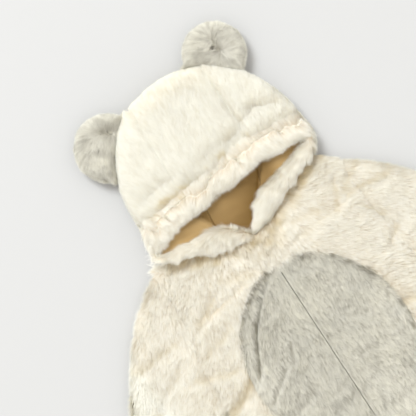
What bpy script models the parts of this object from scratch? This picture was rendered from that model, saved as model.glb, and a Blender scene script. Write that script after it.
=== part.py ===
"""Hooded plush sleepsuit for a baby, laid flat on its back with the hood's mouth up.

Sizes are in millimetres on a plan whose origin is the neck point, where the two fronts meet under
the hood's mouth: +X to the viewer's right, +Y to the top of the hood, +Z up from the surface that
the suit lies on. Meshes are made in metres and moved so that the origin is under the middle of
the whole suit. The plush is one wall, as thick as its backing and its pile together.
"""
from collections import namedtuple

import bmesh
import bpy
import numpy as np

MM = 0.001
NAME = "hooded_sleepsuit"

# Cloth
PLUSH = 9.0
JERSEY = 1.5
SEAM_GAP = 0.3
EDGE_RIM = 1.5
BACK_TOP = PLUSH
LAID_GAP = BACK_TOP + SEAM_GAP

# Body
FRONT_HEIGHT = 22.5
BELLY_RISE = 4.0
HOLLOW_RISE = 3.0
TOP_ROUND = 20.0
BOTTOM_ROUND = 13.0
SEAM_ROUND = 6.0
SEAM_DIP = 2.6
BODY_LEAN = 0.02
LEAN_START = 20.0
CROTCH_Y = -385.0
HEM_Y = -560.0

# Tummy patch, an oval on the closing line
PATCH_HALF_WIDTH = 103.0
PATCH_HALF_LENGTH = 128.0
PATCH_CENTER_Y = -178.0

# Hood
HOOD_HEIGHT = 33.0
HOOD_RISE = 4.0
HOOD_EDGE = 15.0
HOOD_ROUND = 24.0
HOOD_TIP_Y = 190.0
TOP_SEAM_X = 50.0
BACK_SEAM_X = 38.0
BACK_NECK_Y = 16.0
INNER_INSET = 9.5

# Brim and front bands
BRIM_TOP = 38.0
BRIM_BOTTOM = 17.0
BAND_TOP = 33.0
BAND_NECK_TOP = 27.0
ROLL_SIDES = 12

# Lining that shows in the mouth
LINING_TOP_X = 85.0
LINING_TOP_Y = 118.0
LINING_RISE = 9.0
LINING_FALL = 15.0

# Ears
EAR_THICKNESS = 27.0
EAR_EDGE = 13.0
EAR_BASE_GAP = 0.5

Ear = namedtuple("Ear", "name center_x center_y radius")
EARS = (
    Ear("ear_left", -98.0, 175.0, 40.0),
    Ear("ear_right", 73.0, 205.0, 38.0),
)
HOOD_MIDDLE = (0.0, 105.0)

Crease = namedtuple("Crease", "x0 y0 x1 y1 half_width depth")
BODY_CREASES = (
    Crease(-114.0, -62.0, -84.0, -44.0, 8.0, -3.0),
    Crease(-98.0, -60.0, -48.0, -50.0, 8.0, -2.6),
    Crease(-120.0, -28.0, -52.0, -34.0, 16.0, 2.2),
    Crease(96.0, -28.0, 106.0, -2.0, 7.0, -2.6),
    Crease(112.0, -24.0, 168.0, -26.0, 9.0, -2.6),
    Crease(112.0, -16.0, 140.0, 2.0, 9.0, -2.0),
    Crease(128.0, -98.0, 142.0, -96.0, 9.0, -2.4),
    Crease(-146.0, -184.0, -102.0, -157.0, 13.0, -4.5),
    Crease(-206.0, -70.0, -150.0, -64.0, 12.0, -2.2),
    Crease(-150.0, -118.0, -108.0, -132.0, 12.0, -1.8),
    Crease(150.0, -190.0, 108.0, -168.0, 12.0, -3.4),
    Crease(-150.0, -330.0, -70.0, -352.0, 12.0, -3.0),
    Crease(152.0, -322.0, 62.0, -356.0, 12.0, -3.2),
    Crease(-120.0, -452.0, -56.0, -430.0, 12.0, -2.8),
    Crease(138.0, -470.0, 64.0, -436.0, 11.0, -2.6),
    Crease(206.0, -130.0, 236.0, -176.0, 11.0, -2.6),
    Crease(-214.0, -126.0, -232.0, -182.0, 11.0, -2.4),
)
PATCH_CREASES = (
    Crease(-84.0, -142.0, -58.0, -98.0, 6.0, -3.2),
    Crease(-58.0, -98.0, -28.0, -70.0, 6.0, -2.8),
    Crease(-92.0, -188.0, -58.0, -160.0, 8.0, -2.2),
    Crease(-48.0, -166.0, -36.0, -136.0, 8.0, -2.0),
    Crease(72.0, -164.0, 88.0, -182.0, 9.0, -2.2),
    Crease(30.0, -192.0, 92.0, -198.0, 12.0, -1.6),
    Crease(-86.0, -214.0, -40.0, -200.0, 14.0, -2.2),
    Crease(-70.0, -268.0, 66.0, -262.0, 14.0, -1.8),
)
HOOD_CREASES = (
    Crease(-18.0, 96.0, 30.0, 104.0, 9.0, -2.6),
    Crease(30.0, 101.0, 62.0, 116.0, 8.0, -2.4),
    Crease(50.0, 186.0, 53.0, 112.0, 6.0, -1.6),
    Crease(-60.0, 118.0, -34.0, 104.0, 14.0, 2.0),
    Crease(78.0, 120.0, 104.0, 108.0, 9.0, -2.0),
)

# Plan lines of the right half of the body; the left half mirrors them
SHOULDER_POINT = (128.0, 19.0)
UNDERARM_POINT = (143.0, -172.0)
ARMHOLE = (
    SHOULDER_POINT, (128.0, 10.0), (128.6, -8.0), (130.4, -35.0), (135.5, -68.0), (141.0, -98.0),
    (144.4, -124.0), (144.8, -145.0), (144.2, -160.0), (143.4, -168.0), UNDERARM_POINT,
)
SIDE_SEAM = (UNDERARM_POINT, (147.0, -250.0), (154.0, -340.0), (160.0, -450.0), (164.0, HEM_Y))
INSEAM = ((0.0, CROTCH_Y), (12.0, -405.0), (30.0, -455.0), (58.0, HEM_Y))
SLEEVE_OUTER = (
    SHOULDER_POINT, (140.0, 12.0), (160.0, -2.0), (180.0, -20.0), (200.0, -41.0),
    (220.0, -68.0), (240.0, -98.0), (262.0, -134.0), (285.0, -172.0),
)
SLEEVE_INNER = (UNDERARM_POINT, (172.0, -196.0), (208.0, -221.0))

# Necklines of the fronts, which are also the outer edges of the bands, from the neck point out
NECKLINE_RIGHT = ((0.0, -8.0), (30.0, 0.0), (45.0, 9.0), (60.0, 18.0), (83.0, 28.0), (106.0, 37.0))
NECKLINE_LEFT = ((0.0, -8.0), (30.0, -6.0), (50.0, 0.0), (66.0, 7.0), (83.0, 12.0), (104.0, 20.5))
SHOULDER_RIGHT = ((106.0, 37.0), (118.0, 27.0), SHOULDER_POINT)
SHOULDER_LEFT = ((104.0, 20.5), (116.0, 20.0), SHOULDER_POINT)

# Inner edges of the bands, from the neck point out
BAND_INNER_RIGHT = ((2.0, 1.0), (11.0, 14.0), (22.0, 29.0), (36.0, 37.0), (62.0, 44.0), (106.0, 57.0))
BAND_INNER_LEFT = ((2.0, 1.0), (13.0, 9.0), (20.0, 18.0), (40.0, 27.0), (66.0, 26.5), (108.0, 31.0))

# Hood outline from the left corner of the mouth over the crown to the right corner
HOOD_OUTLINE = (
    (-106.0, 24.0), (-114.0, 29.0), (-119.0, 37.0), (-118.0, 52.0), (-116.0, 72.0), (-115.0, 98.0),
    (-112.0, 119.0), (-105.0, 139.0), (-95.0, 158.0), (-80.0, 177.0), (-62.0, 193.0), (-42.0, 203.0),
    (-20.0, 208.0), (0.0, 210.0), (20.0, 208.0), (40.0, 202.0), (58.0, 191.5), (76.0, 177.0),
    (94.0, 160.0), (106.0, 140.0), (114.0, 121.0), (119.0, 103.0), (122.0, 89.0), (124.0, 70.0),
    (120.0, 55.0), (108.0, 42.0),
)
LEFT_RIM_INDEX = 4
RIGHT_RIM_INDEX = 22

# Stitched groove between the hood and its brim, and the brim's lower edge, from left to right
BrimStation = namedtuple("BrimStation", "groove_x groove_y lower_x lower_y")
BRIM = (
    BrimStation(-116.0, 72.0, -119.0, 37.0),
    BrimStation(-108.0, 73.0, -110.0, 41.0),
    BrimStation(-94.0, 74.5, -96.0, 43.5),
    BrimStation(-72.0, 77.0, -74.0, 48.0),
    BrimStation(-50.0, 79.5, -52.0, 51.5),
    BrimStation(-30.0, 81.5, -31.0, 53.5),
    BrimStation(-10.0, 83.5, -11.0, 56.0),
    BrimStation(10.0, 86.5, 9.0, 58.0),
    BrimStation(30.0, 91.0, 29.0, 62.0),
    BrimStation(50.0, 93.5, 48.0, 63.5),
    BrimStation(72.0, 92.0, 71.0, 61.5),
    BrimStation(94.0, 91.0, 94.0, 62.0),
    BrimStation(110.0, 90.0, 111.0, 60.0),
    BrimStation(122.0, 89.0, 123.0, 64.0),
)

CREAM = (0.89, 0.84, 0.71, 1.0)
GREY = (0.55, 0.53, 0.47, 1.0)
LINING = (0.80, 0.70, 0.53, 1.0)

pieces = []


def clear_scene():
    """Remove every object that the file holds."""
    for thing in list(bpy.data.objects):
        bpy.data.objects.remove(thing, do_unlink=True)


def rounded(distance, radius):
    """A quarter circle: 0 at an edge, 1 once a point is a radius inside it."""
    share = np.clip(distance / radius, 0.0, 1.0)
    return np.sqrt(1.0 - (1.0 - share) ** 2)


def eased(value):
    """A smooth step from 0 to 1."""
    share = np.clip(value, 0.0, 1.0)
    return share * share * (3.0 - 2.0 * share)


def distance_to(x, y, line):
    """Shortest plan distance from each point to a broken line."""
    best = np.full(np.shape(x), 1e6)
    for (x0, y0), (x1, y1) in zip(line[:-1], line[1:]):
        run_x = x1 - x0
        run_y = y1 - y0
        length = max(run_x ** 2 + run_y ** 2, 1e-9)
        along = np.clip(((x - x0) * run_x + (y - y0) * run_y) / length, 0.0, 1.0)
        best = np.minimum(best, np.hypot(x - x0 - along * run_x, y - y0 - along * run_y))
    return best


def along_line(line, shares):
    """Points at the given shares of a broken line's length."""
    points = np.array(line, dtype=float)
    steps = np.hypot(*np.diff(points, axis=0).T)
    reach = np.concatenate([[0.0], np.cumsum(steps)])
    wanted = np.asarray(shares) * reach[-1]
    return np.stack([np.interp(wanted, reach, points[:, axis]) for axis in (0, 1)], axis=-1)


def mirrored(line, side):
    """A plan line on the given side: 1 keeps it, -1 mirrors it in the closing line."""
    return tuple((side * x, y) for x, y in line)


def crease_height(x, y, creases):
    """Soft troughs and ridges along short straight lines."""
    height = np.zeros(np.shape(x))
    for crease in creases:
        reach = distance_to(x, y, ((crease.x0, crease.y0), (crease.x1, crease.y1)))
        height += crease.depth * np.exp(-((reach / crease.half_width) ** 2))
    return height


def lean(x, y):
    """The body lies turned a little from the hood's line."""
    return x + BODY_LEAN * np.maximum(0.0, -LEAN_START - y)


def coons(bottom, top, left, right):
    """Plan grid inside four boundary lines given as point arrays that share their corners."""
    rows = len(left)
    columns = len(bottom)
    v = np.linspace(0.0, 1.0, rows)[:, None, None]
    u = np.linspace(0.0, 1.0, columns)[None, :, None]
    across = (1 - u) * left[:, None] + u * right[:, None]
    up = (1 - v) * bottom[None] + v * top[None]
    corners = (
        (1 - u) * (1 - v) * bottom[0] + u * (1 - v) * bottom[-1]
        + (1 - u) * v * top[0] + u * v * top[-1]
    )
    return across + up - corners


def grid_faces(rows, columns, closed, start):
    """Quads over a grid of points; a closed grid joins its last column to its first."""
    faces = []
    for row in range(rows - 1):
        for column in range(columns if closed else columns - 1):
            following = (column + 1) % columns
            a = start + row * columns + column
            b = start + row * columns + following
            faces.append((a, b, b + columns, a + columns))
    return faces


def wall(name, outer, inner, material, closed=False):
    """A closed wall between two point grids of one shape: sheets, or tubes when closed."""
    rows, columns = outer.shape[:2]
    count = rows * columns
    faces = grid_faces(rows, columns, closed, 0) + grid_faces(rows, columns, closed, count)
    first = [(0, column) for column in range(columns)]
    last = [(rows - 1, column) for column in range(columns)]
    if closed:
        borders = [first + first[:1], last + last[:1]]
    else:
        right = [(row, columns - 1) for row in range(1, rows)]
        left = [(row, 0) for row in range(rows - 2, 0, -1)]
        borders = [first + right + last[-2::-1] + left + first[:1]]
    for border in borders:
        for (row_a, column_a), (row_b, column_b) in zip(border[:-1], border[1:]):
            a = row_a * columns + column_a
            b = row_b * columns + column_b
            faces.append((a, b, b + count, a + count))
    points = np.concatenate([outer.reshape(-1, 3), inner.reshape(-1, 3)])
    pieces.append((name, points, faces, material))


def roll(name, rings, material):
    """A closed roll through rings of points, with a fan over each end."""
    count, sides = rings.shape[:2]
    faces = grid_faces(count, sides, True, 0)
    points = list(rings.reshape(-1, 3))
    for ring in (0, count - 1):
        points.append(rings[ring].mean(axis=0))
        middle = len(points) - 1
        for side in range(sides):
            faces.append((ring * sides + side, ring * sides + (side + 1) % sides, middle))
    pieces.append((name, np.array(points), faces, material))


def patch_half_width(y):
    """Half width of the tummy oval at a height of the plan."""
    share = 1.0 - ((y - PATCH_CENTER_Y) / PATCH_HALF_LENGTH) ** 2
    return PATCH_HALF_WIDTH * np.sqrt(np.clip(share, 0.0, None))


def patch_rows():
    """Heights of the oval's rows, close together at its two ends."""
    angle = np.linspace(np.radians(9.0), np.radians(171.0), 17)
    return PATCH_CENTER_Y + PATCH_HALF_LENGTH * np.cos(angle)


def front_height(x, y):
    """Height of the fronts' fur tips, away from seams and edges."""
    belly = np.exp(-((x / 85.0) ** 2) - ((y + 190.0) / 150.0) ** 2)
    return FRONT_HEIGHT + BELLY_RISE * belly + crease_height(x, y, BODY_CREASES)


def front_inside(x, y, free):
    """The fronts lie on the back along the edges and stand a little off it in the middle."""
    return LAID_GAP + HOLLOW_RISE * eased((distance_to(x, y, free) - 12.0) / 60.0)


def line_x(y, line):
    """Where a line that falls from its first point to its last crosses a height."""
    points = np.array(line)[::-1]
    return np.interp(y, points[:, 1], points[:, 0])


def half_panel_rows(shoulder, patched):
    """Heights of a half panel's rows from the top of the shoulder down to the leg hem."""
    top = shoulder[0][1]
    keys = {top - 1.5, HEM_Y, CROTCH_Y, UNDERARM_POINT[1], SHOULDER_POINT[1]}
    if patched:
        oval = patch_rows()
        keys.update(oval)
        keys.update((oval[0] + SEAM_GAP, oval[-1] - SEAM_GAP, -30.0, -330.0, -357.0))
    else:
        keys.update(np.linspace(-20.0, -360.0, 12))
    keys.update((-430.0, -475.0, -505.0, -532.0))
    keys.update(y for _, y in ARMHOLE + SIDE_SEAM + INSEAM)
    return keys


def half_panel(side, neckline, shoulder, rows, shares, patched):
    """Plan grid of half a body, between the neckline, closing, patch and leg, and the outside."""
    rows = np.array(sorted(rows, reverse=True))
    inner_line = np.array(neckline)
    x_in = np.interp(rows, inner_line[:, 1], inner_line[:, 0], left=0.0)
    x_in = np.where(rows < CROTCH_Y, line_x(rows, INSEAM), x_in)
    if patched:
        oval = patch_rows()
        beside = (rows <= oval[0]) & (rows >= oval[-1])
        x_in = np.where(beside, patch_half_width(rows), x_in)
    x_in = x_in + SEAM_GAP / 2
    outside = shoulder + ARMHOLE[1:] + SIDE_SEAM[1:]
    x_out = line_x(rows, outside) - SEAM_GAP / 2
    x = x_in[:, None] + (x_out - x_in)[:, None] * np.array(shares)[None]
    y = np.repeat(rows[:, None], len(shares), axis=1)
    return side * x, y


def stacked(x, y, z):
    """Points from three arrays, with the body's lean."""
    return np.stack([lean(x, y), y, z], axis=-1)


def build_fronts():
    """The two plush fronts with their legs, cut out for the patch."""
    shares = (0.0, 0.07, 0.2, 0.37, 0.54, 0.7, 0.83, 0.93, 1.0)
    for side, name, neckline, shoulder in (
        (-1, "front_left", NECKLINE_LEFT, SHOULDER_LEFT),
        (1, "front_right", NECKLINE_RIGHT, SHOULDER_RIGHT),
    ):
        rows = half_panel_rows(shoulder, True)
        rows.update(y for _, y in neckline[:-1])
        x, y = half_panel(side, neckline, shoulder, rows, shares, True)
        free = mirrored(shoulder, side)
        side_line = mirrored(SIDE_SEAM, side)
        inner_leg = mirrored(INSEAM, side)
        edge = np.minimum(distance_to(x, y, free), distance_to(x, y, side_line))
        edge = np.minimum(edge, distance_to(x, y, inner_leg))
        edge = np.minimum(edge, np.abs(y - HEM_Y) + 8.0)
        closing = distance_to(x, y, ((0.0, neckline[0][1]), (0.0, CROTCH_Y)))
        oval = [(side * patch_half_width(v), v) for v in patch_rows()]
        seam = np.minimum(closing, distance_to(x, y, oval))
        seam = np.minimum(seam, distance_to(x, y, mirrored(neckline, side)))
        seam = np.minimum(seam, distance_to(x, y, mirrored(ARMHOLE, side)))
        low = LAID_GAP + EDGE_RIM
        top = low + (front_height(x, y) - low) * rounded(edge, TOP_ROUND)
        top = top - SEAM_DIP * (1.0 - rounded(seam, SEAM_ROUND)) * rounded(edge, TOP_ROUND)
        outline = free + mirrored(ARMHOLE + SIDE_SEAM[1:], side)
        inside = front_inside(x, y, outline + tuple(reversed(inner_leg)))
        inside = np.minimum(inside, top - EDGE_RIM)
        wall(name, stacked(x, y, top), stacked(x, y, inside), "plush_cream")


def build_patches():
    """The two halves of the grey tummy oval, let into the fronts."""
    shares = np.array((0.0, 0.08, 0.24, 0.42, 0.6, 0.78, 0.92, 1.0))
    rows = patch_rows()
    for side, name in ((-1, "patch_left"), (1, "patch_right")):
        half = patch_half_width(rows)
        x = side * (SEAM_GAP / 2 + (half - SEAM_GAP)[:, None] * shares[None])
        y = np.repeat(rows[:, None], len(shares), axis=1)
        oval = [(side * patch_half_width(v), v) for v in rows]
        seam = np.minimum(np.abs(x), distance_to(x, y, oval))
        top = front_height(x, y) + crease_height(x, y, PATCH_CREASES)
        top = top - SEAM_DIP * (1.0 - rounded(seam, SEAM_ROUND))
        outline = mirrored(ARMHOLE + SIDE_SEAM[1:], side)
        inside = front_inside(x, y, outline)
        wall(name, stacked(x, y, top), stacked(x, y, inside), "plush_grey")


def back_neck_y(x):
    """Height of the seam between the hood and the back."""
    return BACK_NECK_Y + 4.0 * (np.abs(x) / 100.0) ** 2


def build_backs():
    """The two plush backs, flat on the surface, up to the back neck seam."""
    shares = (0.0, 0.12, 0.3, 0.5, 0.7, 0.84, 0.94, 1.0)
    for side, name in ((-1, "back_left"), (1, "back_right")):
        shoulder = ((104.0, BACK_NECK_Y + 4.0),) + (SHOULDER_POINT,)
        rows = half_panel_rows(shoulder, False)
        rows = {row for row in rows if row < BACK_NECK_Y - 1.0}
        rows.update((-2.0,))
        x, y = half_panel(side, ((0.0, CROTCH_Y), (0.0, 500.0)), shoulder, rows, shares, False)
        width = np.array(shares)[None] * (SHOULDER_POINT[0] - 1.0)
        x = np.concatenate([side * (width + SEAM_GAP / 2), x])
        y = np.concatenate([back_neck_y(width) - SEAM_GAP / 2, y])
        free = mirrored(SIDE_SEAM, side)
        edge = np.minimum(distance_to(x, y, free), distance_to(x, y, mirrored(INSEAM, side)))
        edge = np.minimum(edge, np.abs(y - HEM_Y) + 6.0)
        edge = np.minimum(edge, distance_to(x, y, mirrored(((116.0, 20.0), SHOULDER_POINT), side)))
        bottom = (BACK_TOP - EDGE_RIM) * (1.0 - rounded(edge, BOTTOM_ROUND))
        top = np.full(x.shape, BACK_TOP)
        wall(name, stacked(x, y, bottom), stacked(x, y, top), "plush_cream")


def build_sleeves():
    """Two set-in sleeves, flattened tubes from the armhole to an open cuff."""
    head = np.array(ARMHOLE)
    steps = np.linalg.norm(np.diff(head, axis=0), axis=1)
    across = np.concatenate([[0.0], np.cumsum(steps) / steps.sum()])
    down = np.linspace(0.0, 1.0, 13)
    for side, name in ((-1, "sleeve_left"), (1, "sleeve_right")):
        cuff = (SLEEVE_OUTER[-1], SLEEVE_INNER[-1])
        plan = coons(
            head, along_line(cuff, across),
            along_line(SLEEVE_OUTER, down), along_line(SLEEVE_INNER, down),
        )
        x = plan[..., 0] + (1.0 - down)[:, None] * SEAM_GAP
        y = plan[..., 1]
        width = np.hypot(x[:, -1] - x[:, 0], y[:, -1] - y[:, 0])[:, None]
        inset = PLUSH / width
        squeezed = inset + across[None] * (1.0 - 2.0 * inset)
        inner_x = np.array([np.interp(row, across, line) for row, line in zip(squeezed, x)])
        inner_y = np.array([np.interp(row, across, line) for row, line in zip(squeezed, y)])
        middle = LAID_GAP + 0.5
        edges = (SLEEVE_OUTER, SLEEVE_INNER)
        edge = np.minimum(*[distance_to(x, y, line) for line in edges])
        edge[:, 0] = 0.0
        edge[:, -1] = 0.0
        cuff_fall = 3.0 * np.exp(-((1.0 - down) / 0.05) ** 2)[:, None]
        armhole_dip = SEAM_DIP * (1.0 - rounded(distance_to(x, y, ARMHOLE), SEAM_ROUND))
        height = front_height(side * x, y) - armhole_dip - cuff_fall
        top = middle + (height - middle) * rounded(edge, TOP_ROUND)
        bottom = middle * (1.0 - rounded(edge, BOTTOM_ROUND))
        depth = np.interp(across, (0.0, 0.11, 0.89, 1.0), (0.0, 1.0, 1.0, 0.0))[None]
        inner_top = middle + (np.minimum(height - PLUSH, 12.5) - middle) * depth
        inner_bottom = np.broadcast_to(middle + (BACK_TOP - middle) * depth, x.shape)
        outer = ring_of(side * x, y, top, bottom)
        inner = ring_of(side * inner_x, inner_y, inner_top, inner_bottom)
        wall(name, outer, inner, "plush_cream", closed=True)


def ring_of(x, y, top, bottom):
    """Rings that run over the top sheet and back under the bottom one."""
    over = stacked(x, y, top)
    under = stacked(x, y, bottom)[:, -2:0:-1]
    return np.concatenate([over, under], axis=1)


def hood_height(x, y):
    """Height of the hood's fur tips away from its edges."""
    dome = np.exp(-(((x - 4.0) / 80.0) ** 2) - ((y - 120.0) / 70.0) ** 2)
    return HOOD_HEIGHT + HOOD_RISE * dome + crease_height(x, y, HOOD_CREASES)


def hood_sheets(x, y, seam, kept):
    """Outer and inner heights of the hood's top and bottom sheets.

    kept is 1 where the hood folds round from its top to its underside, and 0 along the sides of
    the mouth, where only the bottom sheet is left under the brim and the bands.
    """
    edge = distance_to(x, y, HOOD_OUTLINE)
    fold = (BACK_TOP - EDGE_RIM) + (HOOD_EDGE - BACK_TOP + EDGE_RIM) * kept
    dip = SEAM_DIP * (1.0 - rounded(seam, SEAM_ROUND)) * rounded(edge, HOOD_ROUND)
    top = fold + (hood_height(x, y) - fold) * rounded(edge, HOOD_ROUND) - dip
    bottom = fold * (1.0 - rounded(edge, BOTTOM_ROUND))
    return top, bottom


def hood_inner(x, y, kept):
    """Heights of the two inner faces over an already inset plan point."""
    edge = np.maximum(distance_to(x, y, HOOD_OUTLINE) - INNER_INSET * kept, 0.0)
    fold = BACK_TOP + (HOOD_EDGE - BACK_TOP) * kept
    top = fold + (hood_height(x, y) - PLUSH - 1.0 - fold) * rounded(edge, HOOD_ROUND)
    bottom = fold + (BACK_TOP - fold) * rounded(edge, BOTTOM_ROUND)
    return top, bottom


def outline_y(x):
    """Height of the crown's outline over a plan position near the middle."""
    crown = [point for point in HOOD_OUTLINE if point[1] > 190.0]
    crown = np.array([(-62.0, 193.0)] + [p for p in crown if abs(p[0]) < 60.0])
    return np.interp(x, crown[:, 0], crown[:, 1])


def groove_y(x):
    """Height of the stitched groove at a plan position."""
    stations = np.array([(station.groove_x, station.groove_y) for station in BRIM])
    return np.interp(x, stations[:, 0], stations[:, 1])


def back_seam_x(y):
    """Half width of the middle panel under the hood, narrowing to the neck."""
    return BACK_SEAM_X + (TOP_SEAM_X - BACK_SEAM_X) * eased((y - BACK_NECK_Y) / 165.0)


def build_hood_center():
    """Middle panel, from the brim over the crown and back under to the neck."""
    across = np.linspace(-1.0, 1.0, 11)
    rise = 1.0 - (1.0 - np.linspace(0.0, 1.0, 13)) ** 1.8
    x_top = across * (TOP_SEAM_X - SEAM_GAP / 2)
    start = groove_y(x_top) + SEAM_GAP / 2
    crown = outline_y(x_top)
    top_y = start[None] + (crown - start)[None] * rise[:, None]
    top_x = np.repeat(x_top[None], len(rise), axis=0)
    fall = rise[::-1][1:]
    low_y = (back_neck_y(x_top) + SEAM_GAP / 2)[None]
    low_y = low_y + (crown[None] - low_y) * fall[:, None]
    low_x = across[None] * (back_seam_x(low_y) - SEAM_GAP / 2)
    ones = np.ones(1)
    seam_top = np.minimum(TOP_SEAM_X - np.abs(top_x), top_y - start[None])
    outer_top = hood_sheets(top_x, top_y, seam_top, ones)[0]
    outer_low = hood_sheets(low_x, low_y, np.full(low_x.shape, 50.0), ones)[1]
    outer_top[-1] = HOOD_EDGE
    in_top_y = start[None] + (crown - INNER_INSET - start)[None] * rise[:, None]
    in_low_start = (back_neck_y(x_top) + SEAM_GAP / 2)[None]
    in_low_y = in_low_start + (crown[None] - INNER_INSET - in_low_start) * fall[:, None]
    in_low_x = across[None] * (back_seam_x(in_low_y) - SEAM_GAP / 2)
    inner_top = hood_inner(top_x, in_top_y, ones)[0]
    inner_low = hood_inner(in_low_x, in_low_y, ones)[1]
    inner_top[-1] = HOOD_EDGE
    outer = np.concatenate([
        np.stack([top_x, top_y, outer_top], axis=-1),
        np.stack([low_x, low_y, outer_low], axis=-1),
    ])
    inner = np.concatenate([
        np.stack([top_x, in_top_y, inner_top], axis=-1),
        np.stack([in_low_x, in_low_y, inner_low], axis=-1),
    ])
    wall("hood_center", outer, inner, "plush_cream")


def build_hood_sides():
    """Side panels: each wraps round its side of the hood, with the seam to the middle panel."""
    up = np.linspace(0.0, 1.0, 13)
    out = 1.0 - (1.0 - np.linspace(0.0, 1.0, 8)) ** 1.7
    for side, name, rim in (
        (-1, "hood_left", LEFT_RIM_INDEX), (1, "hood_right", RIGHT_RIM_INDEX),
    ):
        if side < 0:
            outline = HOOD_OUTLINE[rim:11]
            mouth = HOOD_OUTLINE[rim::-1]
        else:
            outline = HOOD_OUTLINE[rim:15:-1]
            mouth = HOOD_OUTLINE[rim:]
        seam_x = side * (TOP_SEAM_X + SEAM_GAP / 2)
        tip = along_line(outline, [1.0])[0]
        edge_line = along_line(outline, up)
        seam_top = np.stack([
            np.full(up.shape, seam_x),
            groove_y(seam_x) + SEAM_GAP / 2 + (HOOD_TIP_Y - groove_y(seam_x)) * up,
        ], axis=-1)
        rim_top = seam_top[0] + (edge_line[0] + (0.0, SEAM_GAP / 2) - seam_top[0]) * out[:, None]
        edge_line = edge_line + np.linspace(1.0, 0.0, len(up))[:, None] * (0.0, SEAM_GAP / 2)
        cap = seam_top[-1] + (tip - seam_top[-1]) * out[:, None]
        plan_top = coons(rim_top, cap, seam_top, edge_line)
        low_y = back_neck_y(BACK_SEAM_X) + SEAM_GAP / 2
        low_y = low_y + (HOOD_TIP_Y - low_y) * up
        seam_low = np.stack([side * (back_seam_x(low_y) + SEAM_GAP / 2), low_y], axis=-1)
        seam_low[-1] = seam_top[-1]
        neck_x = abs(mouth[-1][0])
        neck_x = np.linspace(neck_x, abs(seam_low[0, 0]), 5)[1:]
        neck = [(side * v, back_neck_y(v) + SEAM_GAP / 2) for v in neck_x]
        rim_low = along_line(tuple(mouth) + tuple(neck), 1.0 - out[::-1])
        rim_low[0] = edge_line[0]
        rim_low[-1] = seam_low[0]
        cap_low = cap[::-1]
        plan_low = coons(rim_low, cap_low, edge_line, seam_low)
        kept_top = np.ones(plan_top.shape[:2])
        kept_low = eased((plan_low[..., 1] - groove_y(side * 115.0) + 26.0) / 26.0)
        seam_gap = np.abs(plan_top[..., 0] - seam_x)
        seam_gap = np.minimum(seam_gap, plan_top[..., 1] - groove_y(plan_top[..., 0]))
        outer_top = hood_sheets(plan_top[..., 0], plan_top[..., 1], seam_gap, kept_top)[0]
        far = np.full(plan_low.shape[:2], 50.0)
        outer_low = hood_sheets(plan_low[..., 0], plan_low[..., 1], far, kept_low)[1]
        in_top_x, in_top_y = inset_side(plan_top, side, kept_top, out)
        in_top_y = in_top_y + (groove_y(in_top_x) - groove_y(plan_top[..., 0])) * (1.0 - up[:, None])
        in_low_x, in_low_y = inset_side(plan_low, side, kept_low, out[::-1])
        inner_top = hood_inner(in_top_x, in_top_y, kept_top)[0]
        inner_low = hood_inner(in_low_x, in_low_y, kept_low)[1]
        inner_top[:, :-1] = np.maximum(inner_top[:, :-1], HOOD_EDGE + 0.8)
        inner_low[:, 1:] = np.minimum(inner_low[:, 1:], HOOD_EDGE - 0.8)
        outer = np.concatenate([
            np.dstack([plan_top, outer_top]), np.dstack([plan_low, outer_low])[:, 1:],
        ], axis=1)
        inner = np.concatenate([
            np.stack([in_top_x, in_top_y, inner_top], axis=-1),
            np.stack([in_low_x, in_low_y, inner_low], axis=-1)[:, 1:],
        ], axis=1)
        wall(name, outer, inner, "plush_cream")


def inset_side(plan, side, kept, out):
    """Inner plan of a side panel: drawn in from the outline, unmoved at the seam."""
    edge_column = int(np.argmax(out))
    seam_column = int(np.argmin(out))
    width = np.abs(plan[:, edge_column, 0] - plan[:, seam_column, 0])[:, None]
    inset = np.minimum(INNER_INSET * kept, width - 1.0)
    share = out[None]
    return plan[..., 0] - side * inset * share, plan[..., 1]


def roll_rings(near, far, bottom, top):
    """Rings of a roll between two plan lines, with a height below and above at each station."""
    angle = np.linspace(0.0, 2.0 * np.pi, ROLL_SIDES, endpoint=False)
    across = (1.0 - np.cos(angle)) / 2.0
    swell = np.sign(np.sin(angle)) * np.abs(np.sin(angle)) ** 0.8
    plan = near[:, None] + (far - near)[:, None] * across[None, :, None]
    middle = ((bottom + top) / 2.0)[:, None]
    half = ((top - bottom) / 2.0)[:, None]
    return np.dstack([plan, middle + half * swell[None]])


def drawn_in(near, far, gap):
    """Two plan lines moved towards each other by a gap."""
    step = (far - near) / np.linalg.norm(far - near, axis=1, keepdims=True)
    return near + step * gap, far - step * gap


def rounded_ends(count, first, last):
    """Height shares along a roll that falls at its ends."""
    shares = np.ones(count)
    shares[0] = first
    shares[-1] = last
    return shares


def build_brim():
    """The puffy edge across the top of the mouth."""
    near = np.array([(station.groove_x, station.groove_y) for station in BRIM])
    far = np.array([(station.lower_x, station.lower_y) for station in BRIM])
    near, far = drawn_in(near, far, SEAM_GAP / 2)
    swell = 1.5 * np.sin(np.arange(len(BRIM)) * 1.7)
    shares = rounded_ends(len(BRIM), 0.35, 0.35)
    top = BRIM_BOTTOM + (BRIM_TOP + swell - BRIM_BOTTOM) * shares
    bottom = np.full(len(BRIM), BRIM_BOTTOM)
    roll("hood_brim", roll_rings(near, far, bottom, top), "plush_cream")


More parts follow.
